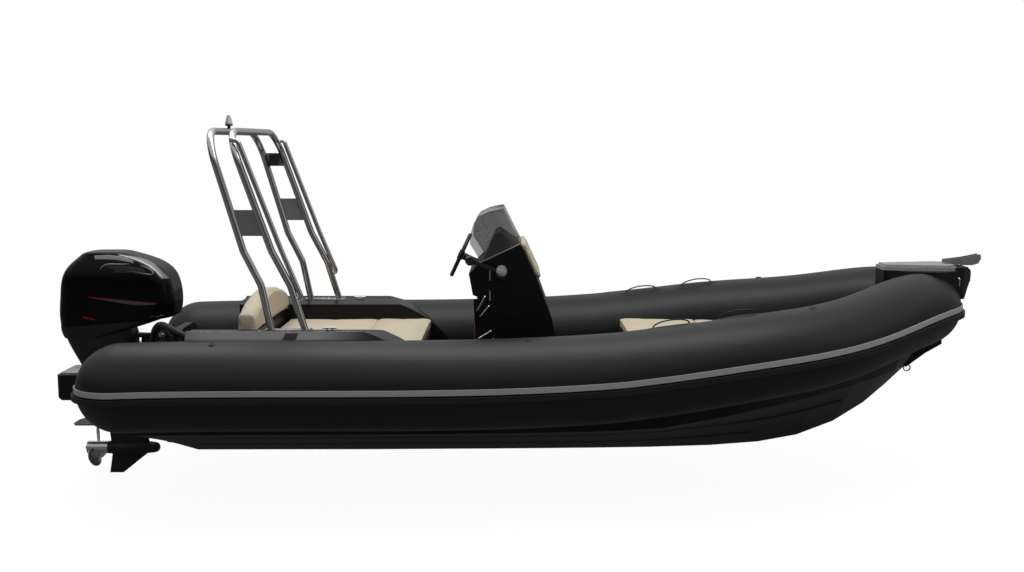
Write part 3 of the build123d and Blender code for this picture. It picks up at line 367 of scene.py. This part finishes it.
# ------------------------------------------------------------------ coamings
# Moulded side decks of polished black gelcoat, screwed down over the tube, with a highlight painted along the
# outer edge of the top and a painted sheen on the lower outer face.
# A louvred vent lets air to the lockers on each side.
deck_gloss = Finish("coaming_gelcoat", Specular_IOR_Level=0.16)
along, outward, height = deck_gloss.axis(0), deck_gloss.axis(1).maths("ABSOLUTE"), deck_gloss.axis(2)
gloss_patches = deck_gloss.noise(50, 5)
edge_out = 0.850
# painted highlight: a pale grey line along the outer edge of the top, broken into patches
painted_edge_highlight = outward.near(edge_out, 0.005) * height.over(0.60, 0.62) * gloss_patches.over(0.3, 0.6)
# painted reflection: a lighter grey sheen over the lower outer face, midway along the coaming
painted_face_sheen = outward.over(0.851, 0.857) * height.over(0.56, 0.60) * along.within(-2.15, -1.10, 0.22)
base_with_painted_sheen = deck_gloss.tint(painted_face_sheen * 0.85, (0.010, 0.010, 0.011), (0.22, 0.22, 0.224))
deck_gloss.set(Base_Color=deck_gloss.tint(painted_edge_highlight * 0.8, base_with_painted_sheen, (0.30, 0.30, 0.31)))
deck_gloss.set(Roughness=0.26 + 0.14 * gloss_patches)
deck_gloss.bump(gloss_patches, 0.0004, 0.2)
wear(deck_gloss, "coaming")

moulded = Finish("moulded_black", Specular_IOR_Level=0.35)
pebble = moulded.noise(600, 3)
moulded.set(Base_Color=moulded.tint(pebble, (0.010, 0.010, 0.011), (0.020, 0.020, 0.021)))
moulded.set(Roughness=0.46 + 0.1 * pebble)
moulded.bump(pebble, 0.0004, 0.4)
wear(moulded, "steering_wheel", "helm", "stern_lamp")

coaming_skin = skin("coaming")
vent_x, vent_l, vent_z, vent_h, vent_lean, slats = -1.430, 0.085, 0.604, 0.046, 0.020, 5
slat_share, slat_low, slat_proud = 0.7, 0.001, 0.006
louvres = []
for side in (-1, 1):
    for i in range(slats):
        z0 = vent_z - vent_h / 2 + i * vent_h / slats
        lean = vent_lean * (i / slats - 0.5)
        ring = []
        for x in (vent_x - vent_l / 2 + lean, vent_x + vent_l / 2 + lean):
            for z, out in ((z0, slat_low), (z0, slat_proud), (z0 + slat_share * vent_h / slats, slat_low)):
                spot, way, *_ = coaming_skin.ray_cast(Vector((x, 2 * side, z)), Vector((0, -side, 0)))
                ring.append(spot + way * out)
        louvres.append(loops([ring[:3], ring[3:]]))
fit("coaming_vents", together(*louvres), moulded, "boat")

# ------------------------------------------------------------------ upholstery
# Beige marine vinyl over foam, sewn in panels with a piped edge: the helm bench, its backrest,
# the bow pads and the small pad on the console. Each is blown up as cloth inside its own cover.
vinyl = Finish("beige_vinyl", Specular_IOR_Level=0.3)
where = vinyl.node("ShaderNodeTexCoord", out="Object")
hide = vinyl.node("ShaderNodeTexVoronoi", {"feature": "DISTANCE_TO_EDGE"}, {"Vector": where, "Scale": 420})
age = vinyl.noise(5, 4)
vinyl.set(Base_Color=vinyl.tint(age, (0.47, 0.40, 0.30), (0.56, 0.49, 0.375)), Roughness=0.50 + 0.12 * age)
vinyl.bump(hide.over(0, 0.12) * 0.5 + age * 0.6, 0.0008, 0.4)


def bake(thing):
    """Makes the mesh that the modifiers give the thing's own."""
    seen = thing.evaluated_get(bpy.context.evaluated_depsgraph_get())
    mesh = bpy.data.meshes.new_from_object(seen)
    thing.modifiers.clear()
    thing.data = mesh
    return mesh


def merged(node):
    """A copy of a node's mesh with its loose triangles joined."""
    mesh, shape = nodes[node].data.copy(), bmesh.new()
    shape.from_mesh(mesh)
    bmesh.ops.remove_doubles(shape, verts=shape.verts, dist=1e-5)
    shape.to_mesh(mesh)
    shape.free()
    return mesh


def sweep(line, radius, sides=8, closed=False):
    """Points and faces of a round bar along a line. The radius may be a function of the share along it."""
    rings, last = [], len(line) - 1
    for i, point in enumerate(line):
        behind, next_on = (i - 1, (i + 1) % len(line)) if closed else (max(i - 1, 0), min(i + 1, last))
        ahead = (line[next_on] - line[behind]).normalized()
        across = ahead.cross(Vector((0.31, 0.42, 0.85))).normalized()
        upward = ahead.cross(across)
        wide = radius(i / last) if callable(radius) else radius
        turns = [2 * math.pi * j / sides for j in range(sides)]
        rings.append([point + wide * (math.cos(a) * across + math.sin(a) * upward) for a in turns])
    return loops(rings, closed)


# shares of a pad's swell: how far it is first drawn in, how far it may rise, and past its neighbour
drawn_in, most_rise, spare_length = 0.6, 1.5, 0.7
pressure, settled = 4, 20


def pad(label, node, body, voxel, swell, held):
    """A sewn pad in a CAD cushion's place. It is drawn in, blown up as cloth, capped by its swell
    and pressed flat where held says it meets something, as (axis, which corner of the box)."""
    thing = bpy.data.objects.new(label, merged(node))
    scene.collection.objects.link(thing)
    grid = thing.modifiers.new("skin", "REMESH")
    grid.mode, grid.voxel_size = "VOXEL", voxel
    mesh = bake(thing)
    for vertex, normal in zip(mesh.vertices, [v.normal.copy() for v in mesh.vertices]):
        vertex.co -= normal * swell * drawn_in
    before = [v.co.copy() for v in mesh.vertices]
    air = thing.modifiers.new("air", "CLOTH")
    air.settings.use_pressure, air.settings.uniform_pressure_force = True, pressure
    air.settings.effector_weights.gravity = 0
    air.point_cache.frame_start, air.point_cache.frame_end = 1, settled
    for moment in range(1, settled + 1):
        scene.frame_set(moment)
    mesh = bake(thing)
    scene.frame_set(1)
    for vertex, start in zip(mesh.vertices, before):
        shift = vertex.co - start
        if shift.length > swell * most_rise:
            vertex.co = start + shift.normalized() * swell * most_rise
    low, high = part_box(node)
    least = [min(v.co[axis] for v in mesh.vertices) for axis in range(3)]
    most = [max(v.co[axis] for v in mesh.vertices) for axis in range(3)]
    for vertex in mesh.vertices:
        # the cover is cut to reach the box again, and a little past it where it meets the next pad
        for axis in range(3):
            share = (vertex.co[axis] - least[axis]) / (most[axis] - least[axis])
            spare = [swell * spare_length if (axis, end) in held and axis == 0 else 0 for end in (0, 1)]
            vertex.co[axis] = (low[axis] - spare[0]) * (1 - share) + (high[axis] + spare[1]) * share
        for axis, end in held:
            edge = (low, high)[end][axis]
            vertex.co[axis] = min(vertex.co[axis], edge) if end else max(vertex.co[axis], edge)
    finer = thing.modifiers.new("finer", "SUBSURF")
    finer.levels = finer.render_levels = 1
    bake(thing).shade_smooth()
    wear(vinyl, thing)
    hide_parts(node)
    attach(thing, body)
    return thing


seam_level, welt_half, welt_steps = 0.020, 0.0032, 240


def piping(cushion):
    """Points and faces of a piped seam round a cushion, a little below its top."""
    cover = skin(cushion)
    corners = [Vector(c) for c in cushion.bound_box]
    low, high = Vector(map(min, *corners)), Vector(map(max, *corners))
    middle, line = (low + high) / 2, []
    for i in range(welt_steps):
        turn = 2 * math.pi * i / welt_steps
        way = Vector((math.cos(turn) * (high.x - low.x), math.sin(turn) * (high.y - low.y), 0))
        eye = Vector((middle.x, middle.y, high.z - seam_level)) + 2 * way
        spot, *_ = cover.ray_cast(eye, -way)
        if spot:
            line.append(spot)
    return sweep(line, welt_half, 6, closed=True)


bench_aft = pad("bench_pad_aft", "seat_cushion_aft", "boat", 0.011, 0.012, [(0, 0), (0, 1), (2, 0)])
bench_fore = pad("bench_pad_fore", "seat_cushion_fore", "boat", 0.011, 0.012, [(0, 0), (2, 0)])
pad("backrest_pad", "seat_backrest", "boat", 0.009, 0.012, [(0, 0), (2, 0)])
bow_aft = pad("bow_pad_aft", "bow_cushion_aft", "boat", 0.011, 0.010, [(0, 1), (2, 0)])
bow_fore = pad("bow_pad_fore", "bow_cushion_fore", "bow_lid", 0.011, 0.010, [(0, 0), (2, 0)])
pad("console_pad", "console_cushion", "boat", 0.006, 0.006, [])
seams = together(*(piping(cushion) for cushion in (bench_aft, bench_fore, bow_aft)))
fit("pad_welts", seams, vinyl, "boat")
fit("lid_pad_welt", piping(bow_fore), vinyl, "bow_lid")

# ------------------------------------------------------------------ coaming lip
# A rounded black bead closes the joint between each coaming and the tube it sits on.
# It is laid along the coaming's lower outer edge once the coaming is screwed down.
lip_half, lip_proud = 0.009, 0.003
lip_line = [(-2.09, 0.560), (-1.90, 0.553), (-1.10, 0.553), (-0.82, 0.575), (-0.66, 0.545)]
lips = []
for side in (-1, 1):
    line = []
    for x, _, z in smooth_line([(x, 0, z) for x, z in lip_line], 8):
        spot, way, *_ = coaming_skin.ray_cast(Vector((x, 2 * side, z)), Vector((0, -side, 0)))
        if spot:
            line.append(spot + way * lip_proud)
    lips.append(sweep(line, lip_half, 8))
fit("coaming_lips", together(*lips), deck_gloss, "boat")

# ------------------------------------------------------------------ grab handles and valves
# Each grab handle is a low bow of black rubber cord moulded into an oval patch, glued to the tube.
# Round plastic caps close the air valves on top of the chambers.
tubes = [skin(node) for node in ("collar_side", "collar_bow")]


def on_tube(x, y):
    """Place and outward direction on top of the collar at (x, y)."""
    for tube in tubes:
        spot, way, *_ = tube.ray_cast(Vector((x, y, 2)), Vector((0, 0, -1)))
        if spot:
            return spot, way
    return None, None


patch_long, patch_wide, patch_thick = 0.165, 0.050, 0.003
patch_rings = [
    # share of the patch's length and width, and how far it stands off the tube there
    (0.02, 2.6 * patch_thick), (0.5, 2.2 * patch_thick), (0.94, patch_thick), (1.0, 0.3 * patch_thick),
    (1.0, -0.002), (0.5, -0.004), (0.02, -0.004),
]


def oval(x, y, turns=40):
    """Points and faces of an oval patch laid on the tube."""
    rings = []
    for share, lift in patch_rings:
        ring = []
        for j in range(turns):
            turn = 2 * math.pi * j / turns
            ahead, abeam = share * patch_long * math.cos(turn), share * patch_wide * math.sin(turn)
            spot, way = on_tube(x + ahead, y + abeam)
            if spot is None:
                return [], []
            ring.append(spot + way * lift)
        rings.append(ring)
    return loops(rings)


handle_places = ((1.0285, 0.862), (1.459, 0.838))
ovals = [oval(x, side * y) for side in (-1, 1) for x, y in handle_places]

hand_long, hand_high, hand_sunk, cord_r, bow_steps = 0.118, 0.044, 0.002, 0.0048, 32
bows = []
for side in (-1, 1):
    for x, y in handle_places:
        line = []
        for i in range(bow_steps + 1):
            turn = math.pi * i / bow_steps
            spot, way = on_tube(x - hand_long * math.cos(turn), side * y)
            line.append(spot + Vector((0, 0, 1)) * (hand_high * math.sin(turn) ** 0.8 - hand_sunk))
        bows.append(sweep(line, cord_r, 10))
hand_bows = fit("handle_bows", together(*bows), rubber, "boat")
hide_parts("grab_handles")
fit("handle_patches", together(*ovals), rubber, "boat")


def spun(profile, sides=12):
    """Points and faces of a (radius, height) profile turned about Z."""
    turns = [2 * math.pi * j / sides for j in range(sides)]
    return loops([[(r * math.cos(a), r * math.sin(a), z) for a in turns] for r, z in profile])


cap = [
    # radius and height from the middle of the cap outwards
    (0.0001, 0.004), (0.007, 0.0045), (0.008, 0.008), (0.016, 0.008), (0.020, 0.004), (0.023, 0.0015),
    (0.023, -0.003),
]
valve_places = ((-1.90, 1.02), (0.10, 1.00), (1.95, 0.82))
points, faces = spun(cap, 24)
caps = []
for side in (-1, 1):
    for x, y in valve_places:
        spot, way = on_tube(x, side * y)
        if spot:
            turn = way.to_track_quat("Z", "Y")
            caps.append(([spot + turn @ Vector(point) for point in points], faces))
fit("air_valves", together(*caps), moulded, "boat")

# ------------------------------------------------------------------ outboard engine
# A glossy composite cowl over a satin lower pan, on an aluminium leg painted black.
# The cowl has a scooped vent and a moulded edge a side, both picked out in lighter grey as painted highlights,
# and a red pinstripe is laid round it.
cowl_paint = Finish("cowl_gloss", Coat_Roughness=0.05)
fore_aft, height = cowl_paint.axis(0), cowl_paint.axis(2)
orange_peel, haze = cowl_paint.noise(160, 2), cowl_paint.noise(4, 3)
stripe_x, stripe_l, stripe_z, stripe_fall, stripe_half = -2.99, 0.50, 0.772, 0.046, 0.0028
share = (fore_aft - stripe_x) / stripe_l
line = stripe_z - stripe_fall * share - height
on_line = share.within(0.05, 0.98, 0.02)
sliver = 0.022 * share * share * (1 - share) * 6.75
red_line = line.within(-stripe_half, stripe_half, 0.0006) * on_line
grey_fill = line.within(stripe_half, 0.003 + sliver, 0.0008) * on_line
accent = fore_aft.within(-3.020, -2.936) * (height + 0.2 * fore_aft).within(0.016, 0.027)
paint = cowl_paint.tint(haze, (0.0020, 0.0020, 0.0022), (0.0045, 0.0045, 0.0048))
paint = cowl_paint.tint(grey_fill, paint, (0.10, 0.10, 0.103))
cowl_paint.set(Base_Color=cowl_paint.tint(red_line.maths("MAXIMUM", accent), paint, (0.34, 0.012, 0.010)))
cowl_paint.set(Roughness=0.16 + 0.08 * haze, Coat_Weight=0.05 + 0.04 * haze, Specular_IOR_Level=0.08)
cowl_paint.bump(orange_peel, 0.0003, 0.25)
wear(cowl_paint, "engine_cowl")

satin = Finish("engine_satin", Specular_IOR_Level=0.35)
cast = satin.noise(130, 4)
satin.set(Base_Color=satin.tint(cast, (0.012, 0.012, 0.013), (0.022, 0.022, 0.024)))
satin.set(Roughness=0.40 + 0.1 * cast)
satin.bump(cast, 0.0005, 0.3)
wear(satin, "engine_pan", "drive_leg", "gearcase", "clamp_bracket", "swivel_bracket", "steering_yoke")

# painted highlights: a lighter grey for the facets on the cowl's shoulder and crest and for the rims round its
# scoop
highlight_grey = Finish("cowl_painted_highlight_grey", Metallic=0.6)
shade = highlight_grey.noise(30, 3)
highlight_grey.set(Base_Color=highlight_grey.tint(shade, (0.16, 0.16, 0.165), (0.26, 0.26, 0.265)))
highlight_grey.set(Roughness=0.28 + 0.1 * shade)
cowl_skin = skin("engine_cowl")
cowl_half, slope = 0.19, math.radians(7)
facet_proud, facet_edge, facet_depth = 0.0016, 0.0004, 0.002


def flank(x, z, side):
    """Place and outward direction on the cowl, seen a little from above through (x, z) on its flank."""
    way_in = Vector((0, -side * math.cos(slope), -math.sin(slope)))
    spot, way, *_ = cowl_skin.ray_cast(Vector((x, side * cowl_half, z)) - way_in, way_in)
    return spot, way


def on_cowl(points, side, lift=0.0):
    """These (x, z) points, smoothed, on the cowl's flank and stood off it by lift."""
    spots = [flank(point.x, point.z, side) for point in smooth_line([(x, 0, z) for x, z in points], 5)]
    return [spot + way * lift for spot, way in spots if spot]


def inlay(upper, lower, side, steps=5):
    """Points and faces of a thin moulded facet between two rows of (x, z) points on the cowl's flank."""
    rows = [smooth_line([(x, 0, z) for x, z in row], 6) for row in (upper, lower)]
    rings = []
    for high, low in zip(*rows):
        aims = [high.lerp(low, j / steps) for j in range(steps + 1)]
        spots = [flank(aim.x, aim.z, side) for aim in aims]
        if all(spot for spot, _ in spots):
            lifts = [facet_edge if j in (0, steps) else facet_proud for j in range(steps + 1)]
            top = [spot + way * lift for (spot, way), lift in zip(spots, lifts)]
            rings.append(top + [spot - way * facet_depth for spot, way in spots][::-1])
    return loops(rings)


highlight_facets = {
    # upper and lower edge of each facet painted lighter grey as a highlight, as (x, z)
    "shoulder": (
        [(-2.945, 1.062), (-2.83, 1.066), (-2.74, 1.052), (-2.665, 1.026)],
        [(-2.935, 1.036), (-2.81, 1.034), (-2.72, 1.021), (-2.655, 1.006)],
    ),
    "crest": (
        [(-2.775, 1.070), (-2.65, 1.052), (-2.56, 1.020), (-2.490, 0.970), (-2.425, 0.900)],
        [(-2.762, 1.056), (-2.665, 1.036), (-2.575, 0.998), (-2.508, 0.950), (-2.462, 0.898)],
    ),
}
inlays = [inlay(upper, lower, side) for side in (-1, 1) for upper, lower in highlight_facets.values()]
fit("cowl_facets", together(*inlays), highlight_grey, "engine")

highlight_rims = {
    # centre line and half-width of each moulded rim round the scoop, in the lighter grey that paints the
    # scoop's lit edges
    "brow": ([(-2.893, 0.957), (-2.872, 0.985), (-2.835, 1.000), (-2.755, 1.000), (-2.668, 1.002)], 0.0075),
    "sill": (
        [(-2.720, 0.957), (-2.630, 0.943), (-2.535, 0.928), (-2.520, 0.945), (-2.560, 0.975), (-2.640, 1.000)],
        0.0050,
    ),
    "pan_bar": ([(-2.560, 0.628), (-2.500, 0.632), (-2.440, 0.640)], 0.0026),
}


def tapered(thick):
    """Half-width of a rim at a share of its length, thin at both ends."""
    return lambda share: thick * (0.3 + 0.7 * math.sin(math.pi * min(max(share, 0.03), 0.97)))


bars = []
for side in (-1, 1):
    for points, thick in highlight_rims.values():
        line = on_cowl(points, side, -0.4 * thick)
        if len(line) > 2:
            bars.append(sweep(line, tapered(thick)))
fit("cowl_rims", together(*bars), highlight_grey, "engine")

# thin slats across the scoop, between its brow and its sill
scoop_slats, slat_top, slat_pitch, slat_half = 7, 0.990, 0.0075, 0.0022
vents = []
for side in (-1, 1):
    for i in range(scoop_slats):
        z = slat_top - slat_pitch * i
        run = [(-2.855 + 0.012 * i, z), (-2.72 + 0.01 * i, z - 0.006), (-2.585 + 0.004 * i, z - 0.022)]
        line = on_cowl(run, side)
        if len(line) > 2:
            vents.append(sweep(line, slat_half, 6))
fit("cowl_slats", together(*vents), satin, "engine")

# ------------------------------------------------------------------ steelwork
# Polished stainless tube and castings: the roll bar, the eyes, the cleats and the console's handles.
# The flat gussets of the roll bar are brushed, and the propeller is polished.
steel = Finish("polished_stainless", Metallic=1.0)
smear = steel.noise(40, 4)
steel.set(Base_Color=steel.tint(smear, (0.50, 0.50, 0.51), (0.64, 0.64, 0.65)))
steel.set(Roughness=0.13 + 0.10 * smear)
steel.bump(steel.noise(60, 2), 0.0003, 0.05)
wear(steel, "roll_bar_aft_hoop", "roll_bar_fore_hoop", "roll_bar_foot", "console_handles")
wear(steel, "bow_eye", "nose_eye", "cleat")

bright = Finish("propeller_steel", Metallic=0.8)
streak = bright.noise(30, 4)
bright.set(Base_Color=bright.tint(streak, (0.62, 0.62, 0.63), (0.80, 0.80, 0.81)))
bright.set(Roughness=0.22 + 0.1 * streak)
wear(bright, "propeller")

plate = Finish("satin_plate", Metallic=0.9)
brush = plate.noise(300, 3, (1, 1, 0.05))
plate.set(Base_Color=plate.tint(brush, (0.34, 0.34, 0.345), (0.44, 0.44, 0.445)))
plate.set(Roughness=0.34 + 0.15 * brush)
plate.bump(brush, 0.0002, 0.3)
wear(plate, "roll_bar_plate", "lamp_bracket", "anchor_roller_cheeks")

# ------------------------------------------------------------------ fastenings
# Dome-headed stainless screws: they hold the roll bar's feet, the coamings, the stern treads, the
# engine's bracket and the console. One head is turned, and set wherever a row needs it.


def heads(label, spots, size, finish, body):
    """Screw heads at (place, outward direction) spots, on one body."""
    mesh = bpy.data.meshes.new(label)
    mesh.from_pydata([place for place, _ in spots], [], [])
    ways = mesh.attributes.new("way", "FLOAT_VECTOR", "POINT")
    for entry, (_, way) in zip(ways.data, spots):
        entry.vector = way
    thing = bpy.data.objects.new(label, mesh)
    scene.collection.objects.link(thing)
    group = bpy.data.node_groups.new(label, "GeometryNodeTree")
    sockets = group.interface
    sockets.new_socket("Spots", in_out="INPUT", socket_type="NodeSocketGeometry")
    head_size = sockets.new_socket("Head size", in_out="INPUT", socket_type="NodeSocketFloat")
    sockets.new_socket("Heads", in_out="OUTPUT", socket_type="NodeSocketGeometry")
    tree = Tree(group, "NodeGroupOutput")
    given = tree.node("NodeGroupInput")
    wanted = Value(tree, given.socket.node.outputs[1])
    way = tree.node("GeometryNodeInputNamedAttribute", {"data_type": "FLOAT_VECTOR"}, {"Name": "way"})
    turn = tree.node("FunctionNodeAlignRotationToVector", {"axis": "Z"}, {"Vector": way})
    head = tree.node("GeometryNodeObjectInfo", None, {"Object": screw_head}, out="Geometry")
    stand = {"Points": given, "Instance": head, "Rotation": turn, "Scale": wanted}
    placed = tree.node("GeometryNodeInstanceOnPoints", None, stand)
    real = tree.node("GeometryNodeRealizeInstances", None, {0: placed})
    painted = tree.node("GeometryNodeSetMaterial", None, {"Geometry": real, "Material": finish.material})
    tree.put(tree.out.inputs[0], painted)
    rows = thing.modifiers.new("rows", "NODES")
    rows.node_group = group
    rows[head_size.identifier] = size
    bake(thing).shade_smooth()
    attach(thing, body)
    return thing


def down_on(node, places):
    """Spots on top of a node at these (x, y) places."""
    top, spots = skin(node), []
    for x, y in places:
        spot, way, *_ = top.ray_cast(Vector((x, y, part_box(node)[1][2] + 0.05)), Vector((0, 0, -1)))
        if spot and way.z > 0.5:
            spots.append((spot, way))
    return spots


dome = [
    # radius and height from the socket in the middle outwards
    (0.0001, 0.0022), (0.0016, 0.0022), (0.0018, 0.0036), (0.0034, 0.0031), (0.0046, 0.0018), (0.0050, 0),
    (0.0044, -0.0015),
]
screw_head = bpy.data.objects.new("screw_head", shaped("screw_head", *spun(dome)))
foot_low, foot_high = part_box("roll_bar_foot")
bolt_inset = 0.018
bolt_x = (foot_low[0] + bolt_inset, foot_high[0] - bolt_inset, -1.49, -1.44)
feet = [(x, side * y) for side in (-1, 1) for x in bolt_x for y in (0.712, 0.770)]
heads("foot_bolts", down_on("roll_bar_foot", feet), 1.3, steel, "boat")
screw_from, screw_pitch, screw_y = -2.02, 0.19, 0.838
rows = [(screw_from + screw_pitch * i, side * screw_y) for side in (-1, 1) for i in range(7)]
heads("coaming_screws", down_on("coaming", rows), 0.9, steel, "boat")
treads = [(x, side * y) for side in (-1, 1) for x in (-3.02, -2.56) for y in (0.30, 0.60)]
heads("tread_screws", down_on("platform_tread", treads), 0.9, steel, "boat")

side_bolts = {
    # x and z of the bolts in each side of these nodes
    "clamp_bracket": [(-2.55, 0.44), (-2.55, 0.36), (-2.55, 0.27)],
    "console": [(-0.13, 0.50), (0.24, 0.14), (-0.13, 0.14), (0.16, 0.50)],
}
through = []
for node, places in side_bolts.items():
    flanks = skin(node)
    for x, z in places:
        for side in (-1, 1):
            spot, way, *_ = flanks.ray_cast(Vector((x, side, z)), Vector((0, -side, 0)))
            if spot:
                through.append((spot, way))
through += [(Vector((-2.50, side * 0.119, 0.49)), Vector((0, side, 0))) for side in (-1, 1)]
heads("bracket_bolts", through, 1.1, steel, "boat")

# the polished ends of the tilt tube and its nuts, outside the clamp's arms
tube_end = [
    # radius and reach from the end of the tube inwards
    (0.0001, 0.056), (0.011, 0.054), (0.013, 0.050), (0.013, 0.022), (0.024, 0.021), (0.024, 0.004),
    (0.019, -0.004),
]
arm_y = 0.118
points, faces = spun(tube_end, 16)
tilt_ends = []
for side in (-1, 1):
    for x, z, reach in ((-2.487, 0.490, 1.0), (-2.560, 0.405, 0.55)):
        tilt_ends.append(([Vector((x + p[0], side * (arm_y + reach * p[2]), z + p[1])) for p in points], faces))
fit("tilt_tube_ends", together(*tilt_ends), steel, "boat")

# ------------------------------------------------------------------ console
# A moulded console in black gelcoat, its lid joined on a pale sealed seam, with an inset panel a side and two
# short highlights painted near its aft edge.
# The throttle's hub is satin metal, and a smoked acrylic screen stands round the instruments.
case = Finish("console_gelcoat", Specular_IOR_Level=0.22)
along, height = case.axis(0), case.axis(2)
dust = case.noise(35, 6)
seam_slope, seam_z, seam_half = 0.4664, 1.1320, 0.0065
seam = (height - seam_slope * along).near(seam_z, seam_half) * case.axis(1).maths("ABSOLUTE").over(0.30, 0.34)
inset = along.within(-0.10, 0.17) * (height + 0.25 * along).within(0.20, 0.66)
# painted highlights: two short pale vertical strips near the aft edge of each side, in the same grey as the
# seam
edge = along.within(-0.156, -0.148) * (height.within(0.905, 0.985) + height.within(0.765, 0.835))
base = case.tint(inset, (0.0045, 0.0045, 0.005), (0.002, 0.002, 0.0022))
case.set(Base_Color=case.tint((seam + edge).maths("MINIMUM", 0.9), base, (0.30, 0.30, 0.31)))
case.set(Roughness=0.32 + 0.14 * dust)
case.bump(case.noise(3.5, 3) + 0.3 * inset, 0.002, 0.2)
wear(case, "console")

lever = Finish("throttle_hub")
hub_x, hub_z = -0.071, 0.976
aside, above = lever.axis(0) - hub_x, lever.axis(2) - hub_z
metal = 1 - (aside * aside + above * above).over(0.0012, 0.0014)
turned = lever.noise(60, 2)
handle = lever.tint(turned, (0.010, 0.010, 0.011), (0.018, 0.018, 0.019))
lever.set(Base_Color=lever.tint(metal, handle, (0.50, 0.50, 0.51)))
lever.set(Metallic=metal * 0.3, Roughness=0.36 + 0.1 * turned)
wear(lever, "throttle")

smoke = Finish("smoked_acrylic", Roughness=0.05, Specular_IOR_Level=0.3)
mist = smoke.noise(8, 3)
rim = smoke.axis(2).over(1.36, 1.39)
smoke.set(Base_Color=smoke.tint(mist, (0.045, 0.045, 0.047), (0.065, 0.065, 0.068)))
smoke.set(Alpha=0.45 + 0.04 * mist + 0.25 * rim)
wear(smoke, "windscreen")

# ------------------------------------------------------------------ lamps and extinguisher
# The masthead light is a ribbed opal lens on a dark foot, screwed on top of the roll bar.
# The extinguisher is a steel bottle enamelled red, with a black head, clipped behind the console.
opal = Finish("lamp_opal", Roughness=0.25)
height = opal.axis(2)
pale = opal.noise(30, 2) * 0.4 + 0.3 * (height * 700).maths("SINE")
foot = height.over(1.972, 1.975)
lens_white = opal.tint(pale, (0.45, 0.45, 0.46), (0.74, 0.74, 0.74))
opal.set(Base_Color=opal.tint(foot, (0.02, 0.02, 0.02), lens_white))
wear(opal, "masthead_light")

red = Finish("red_enamel", Roughness=0.3, Coat_Weight=0.4)
height, chalk = red.axis(2), red.noise(20, 3)
bottle = red.tint(chalk, (0.36, 0.012, 0.010), (0.45, 0.020, 0.015))
red.set(Base_Color=red.tint(height.over(0.575, 0.580), bottle, (0.015, 0.015, 0.015)))
wear(red, "fire_extinguisher")

# ------------------------------------------------------------------ rigging hose
# Ribbed black hose of 46 mm over the engine's cables. It leaves the coaming, rises over the splash
# well and goes down through the transom board, held at both ends, so it keeps its arch.
hose_points = [
    (-2.060, -0.654, 0.506), (-2.215, -0.640, 0.587), (-2.420, -0.470, 0.640), (-2.495, -0.380, 0.430),
]
hose_bend, hose_half, rib_pitch, rib_deep = 0.140, 0.023, 0.009, 0.0011


def rounded(points, bend, step=0.003, arc_steps=24):
    """Evenly spaced points of a line whose corners are arcs of this radius."""
    points = [Vector(point) for point in points]
    rough = [points[0]]
    for before, corner, after in zip(points, points[1:], points[2:]):
        come, leave = (before - corner).normalized(), (after - corner).normalized()
        half = come.angle(leave) / 2
        heart = corner + (come + leave).normalized() * bend / math.sin(half)
        start, end = ((corner + way * bend / math.tan(half) - heart).normalized() for way in (come, leave))
        rough += [heart + start.slerp(end, i / arc_steps) * bend for i in range(arc_steps + 1)]
    rough.append(points[-1])
    line, carry = [rough[0]], 0.0
    for a, b in zip(rough, rough[1:]):
        span = (b - a).length
        while carry + span >= step:
            share = (step - carry) / span
            a, span, carry = a.lerp(b, share), span * (1 - share), 0.0
            line.append(a)
        carry += span
    return line


hose_line = rounded(hose_points, hose_bend)
hose_length = sum((b - a).length for a, b in zip(hose_line, hose_line[1:]))


def ribs(share):
    """Radius of the hose at a share of its length, from rib to groove."""
    return hose_half - rib_deep * (0.5 + 0.5 * math.cos(share * hose_length / rib_pitch * 2 * math.pi))


hose = fit("ribbed_hose", sweep(hose_line, ribs, 20), moulded, "boat", sharp=60)
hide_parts("rigging_hose")
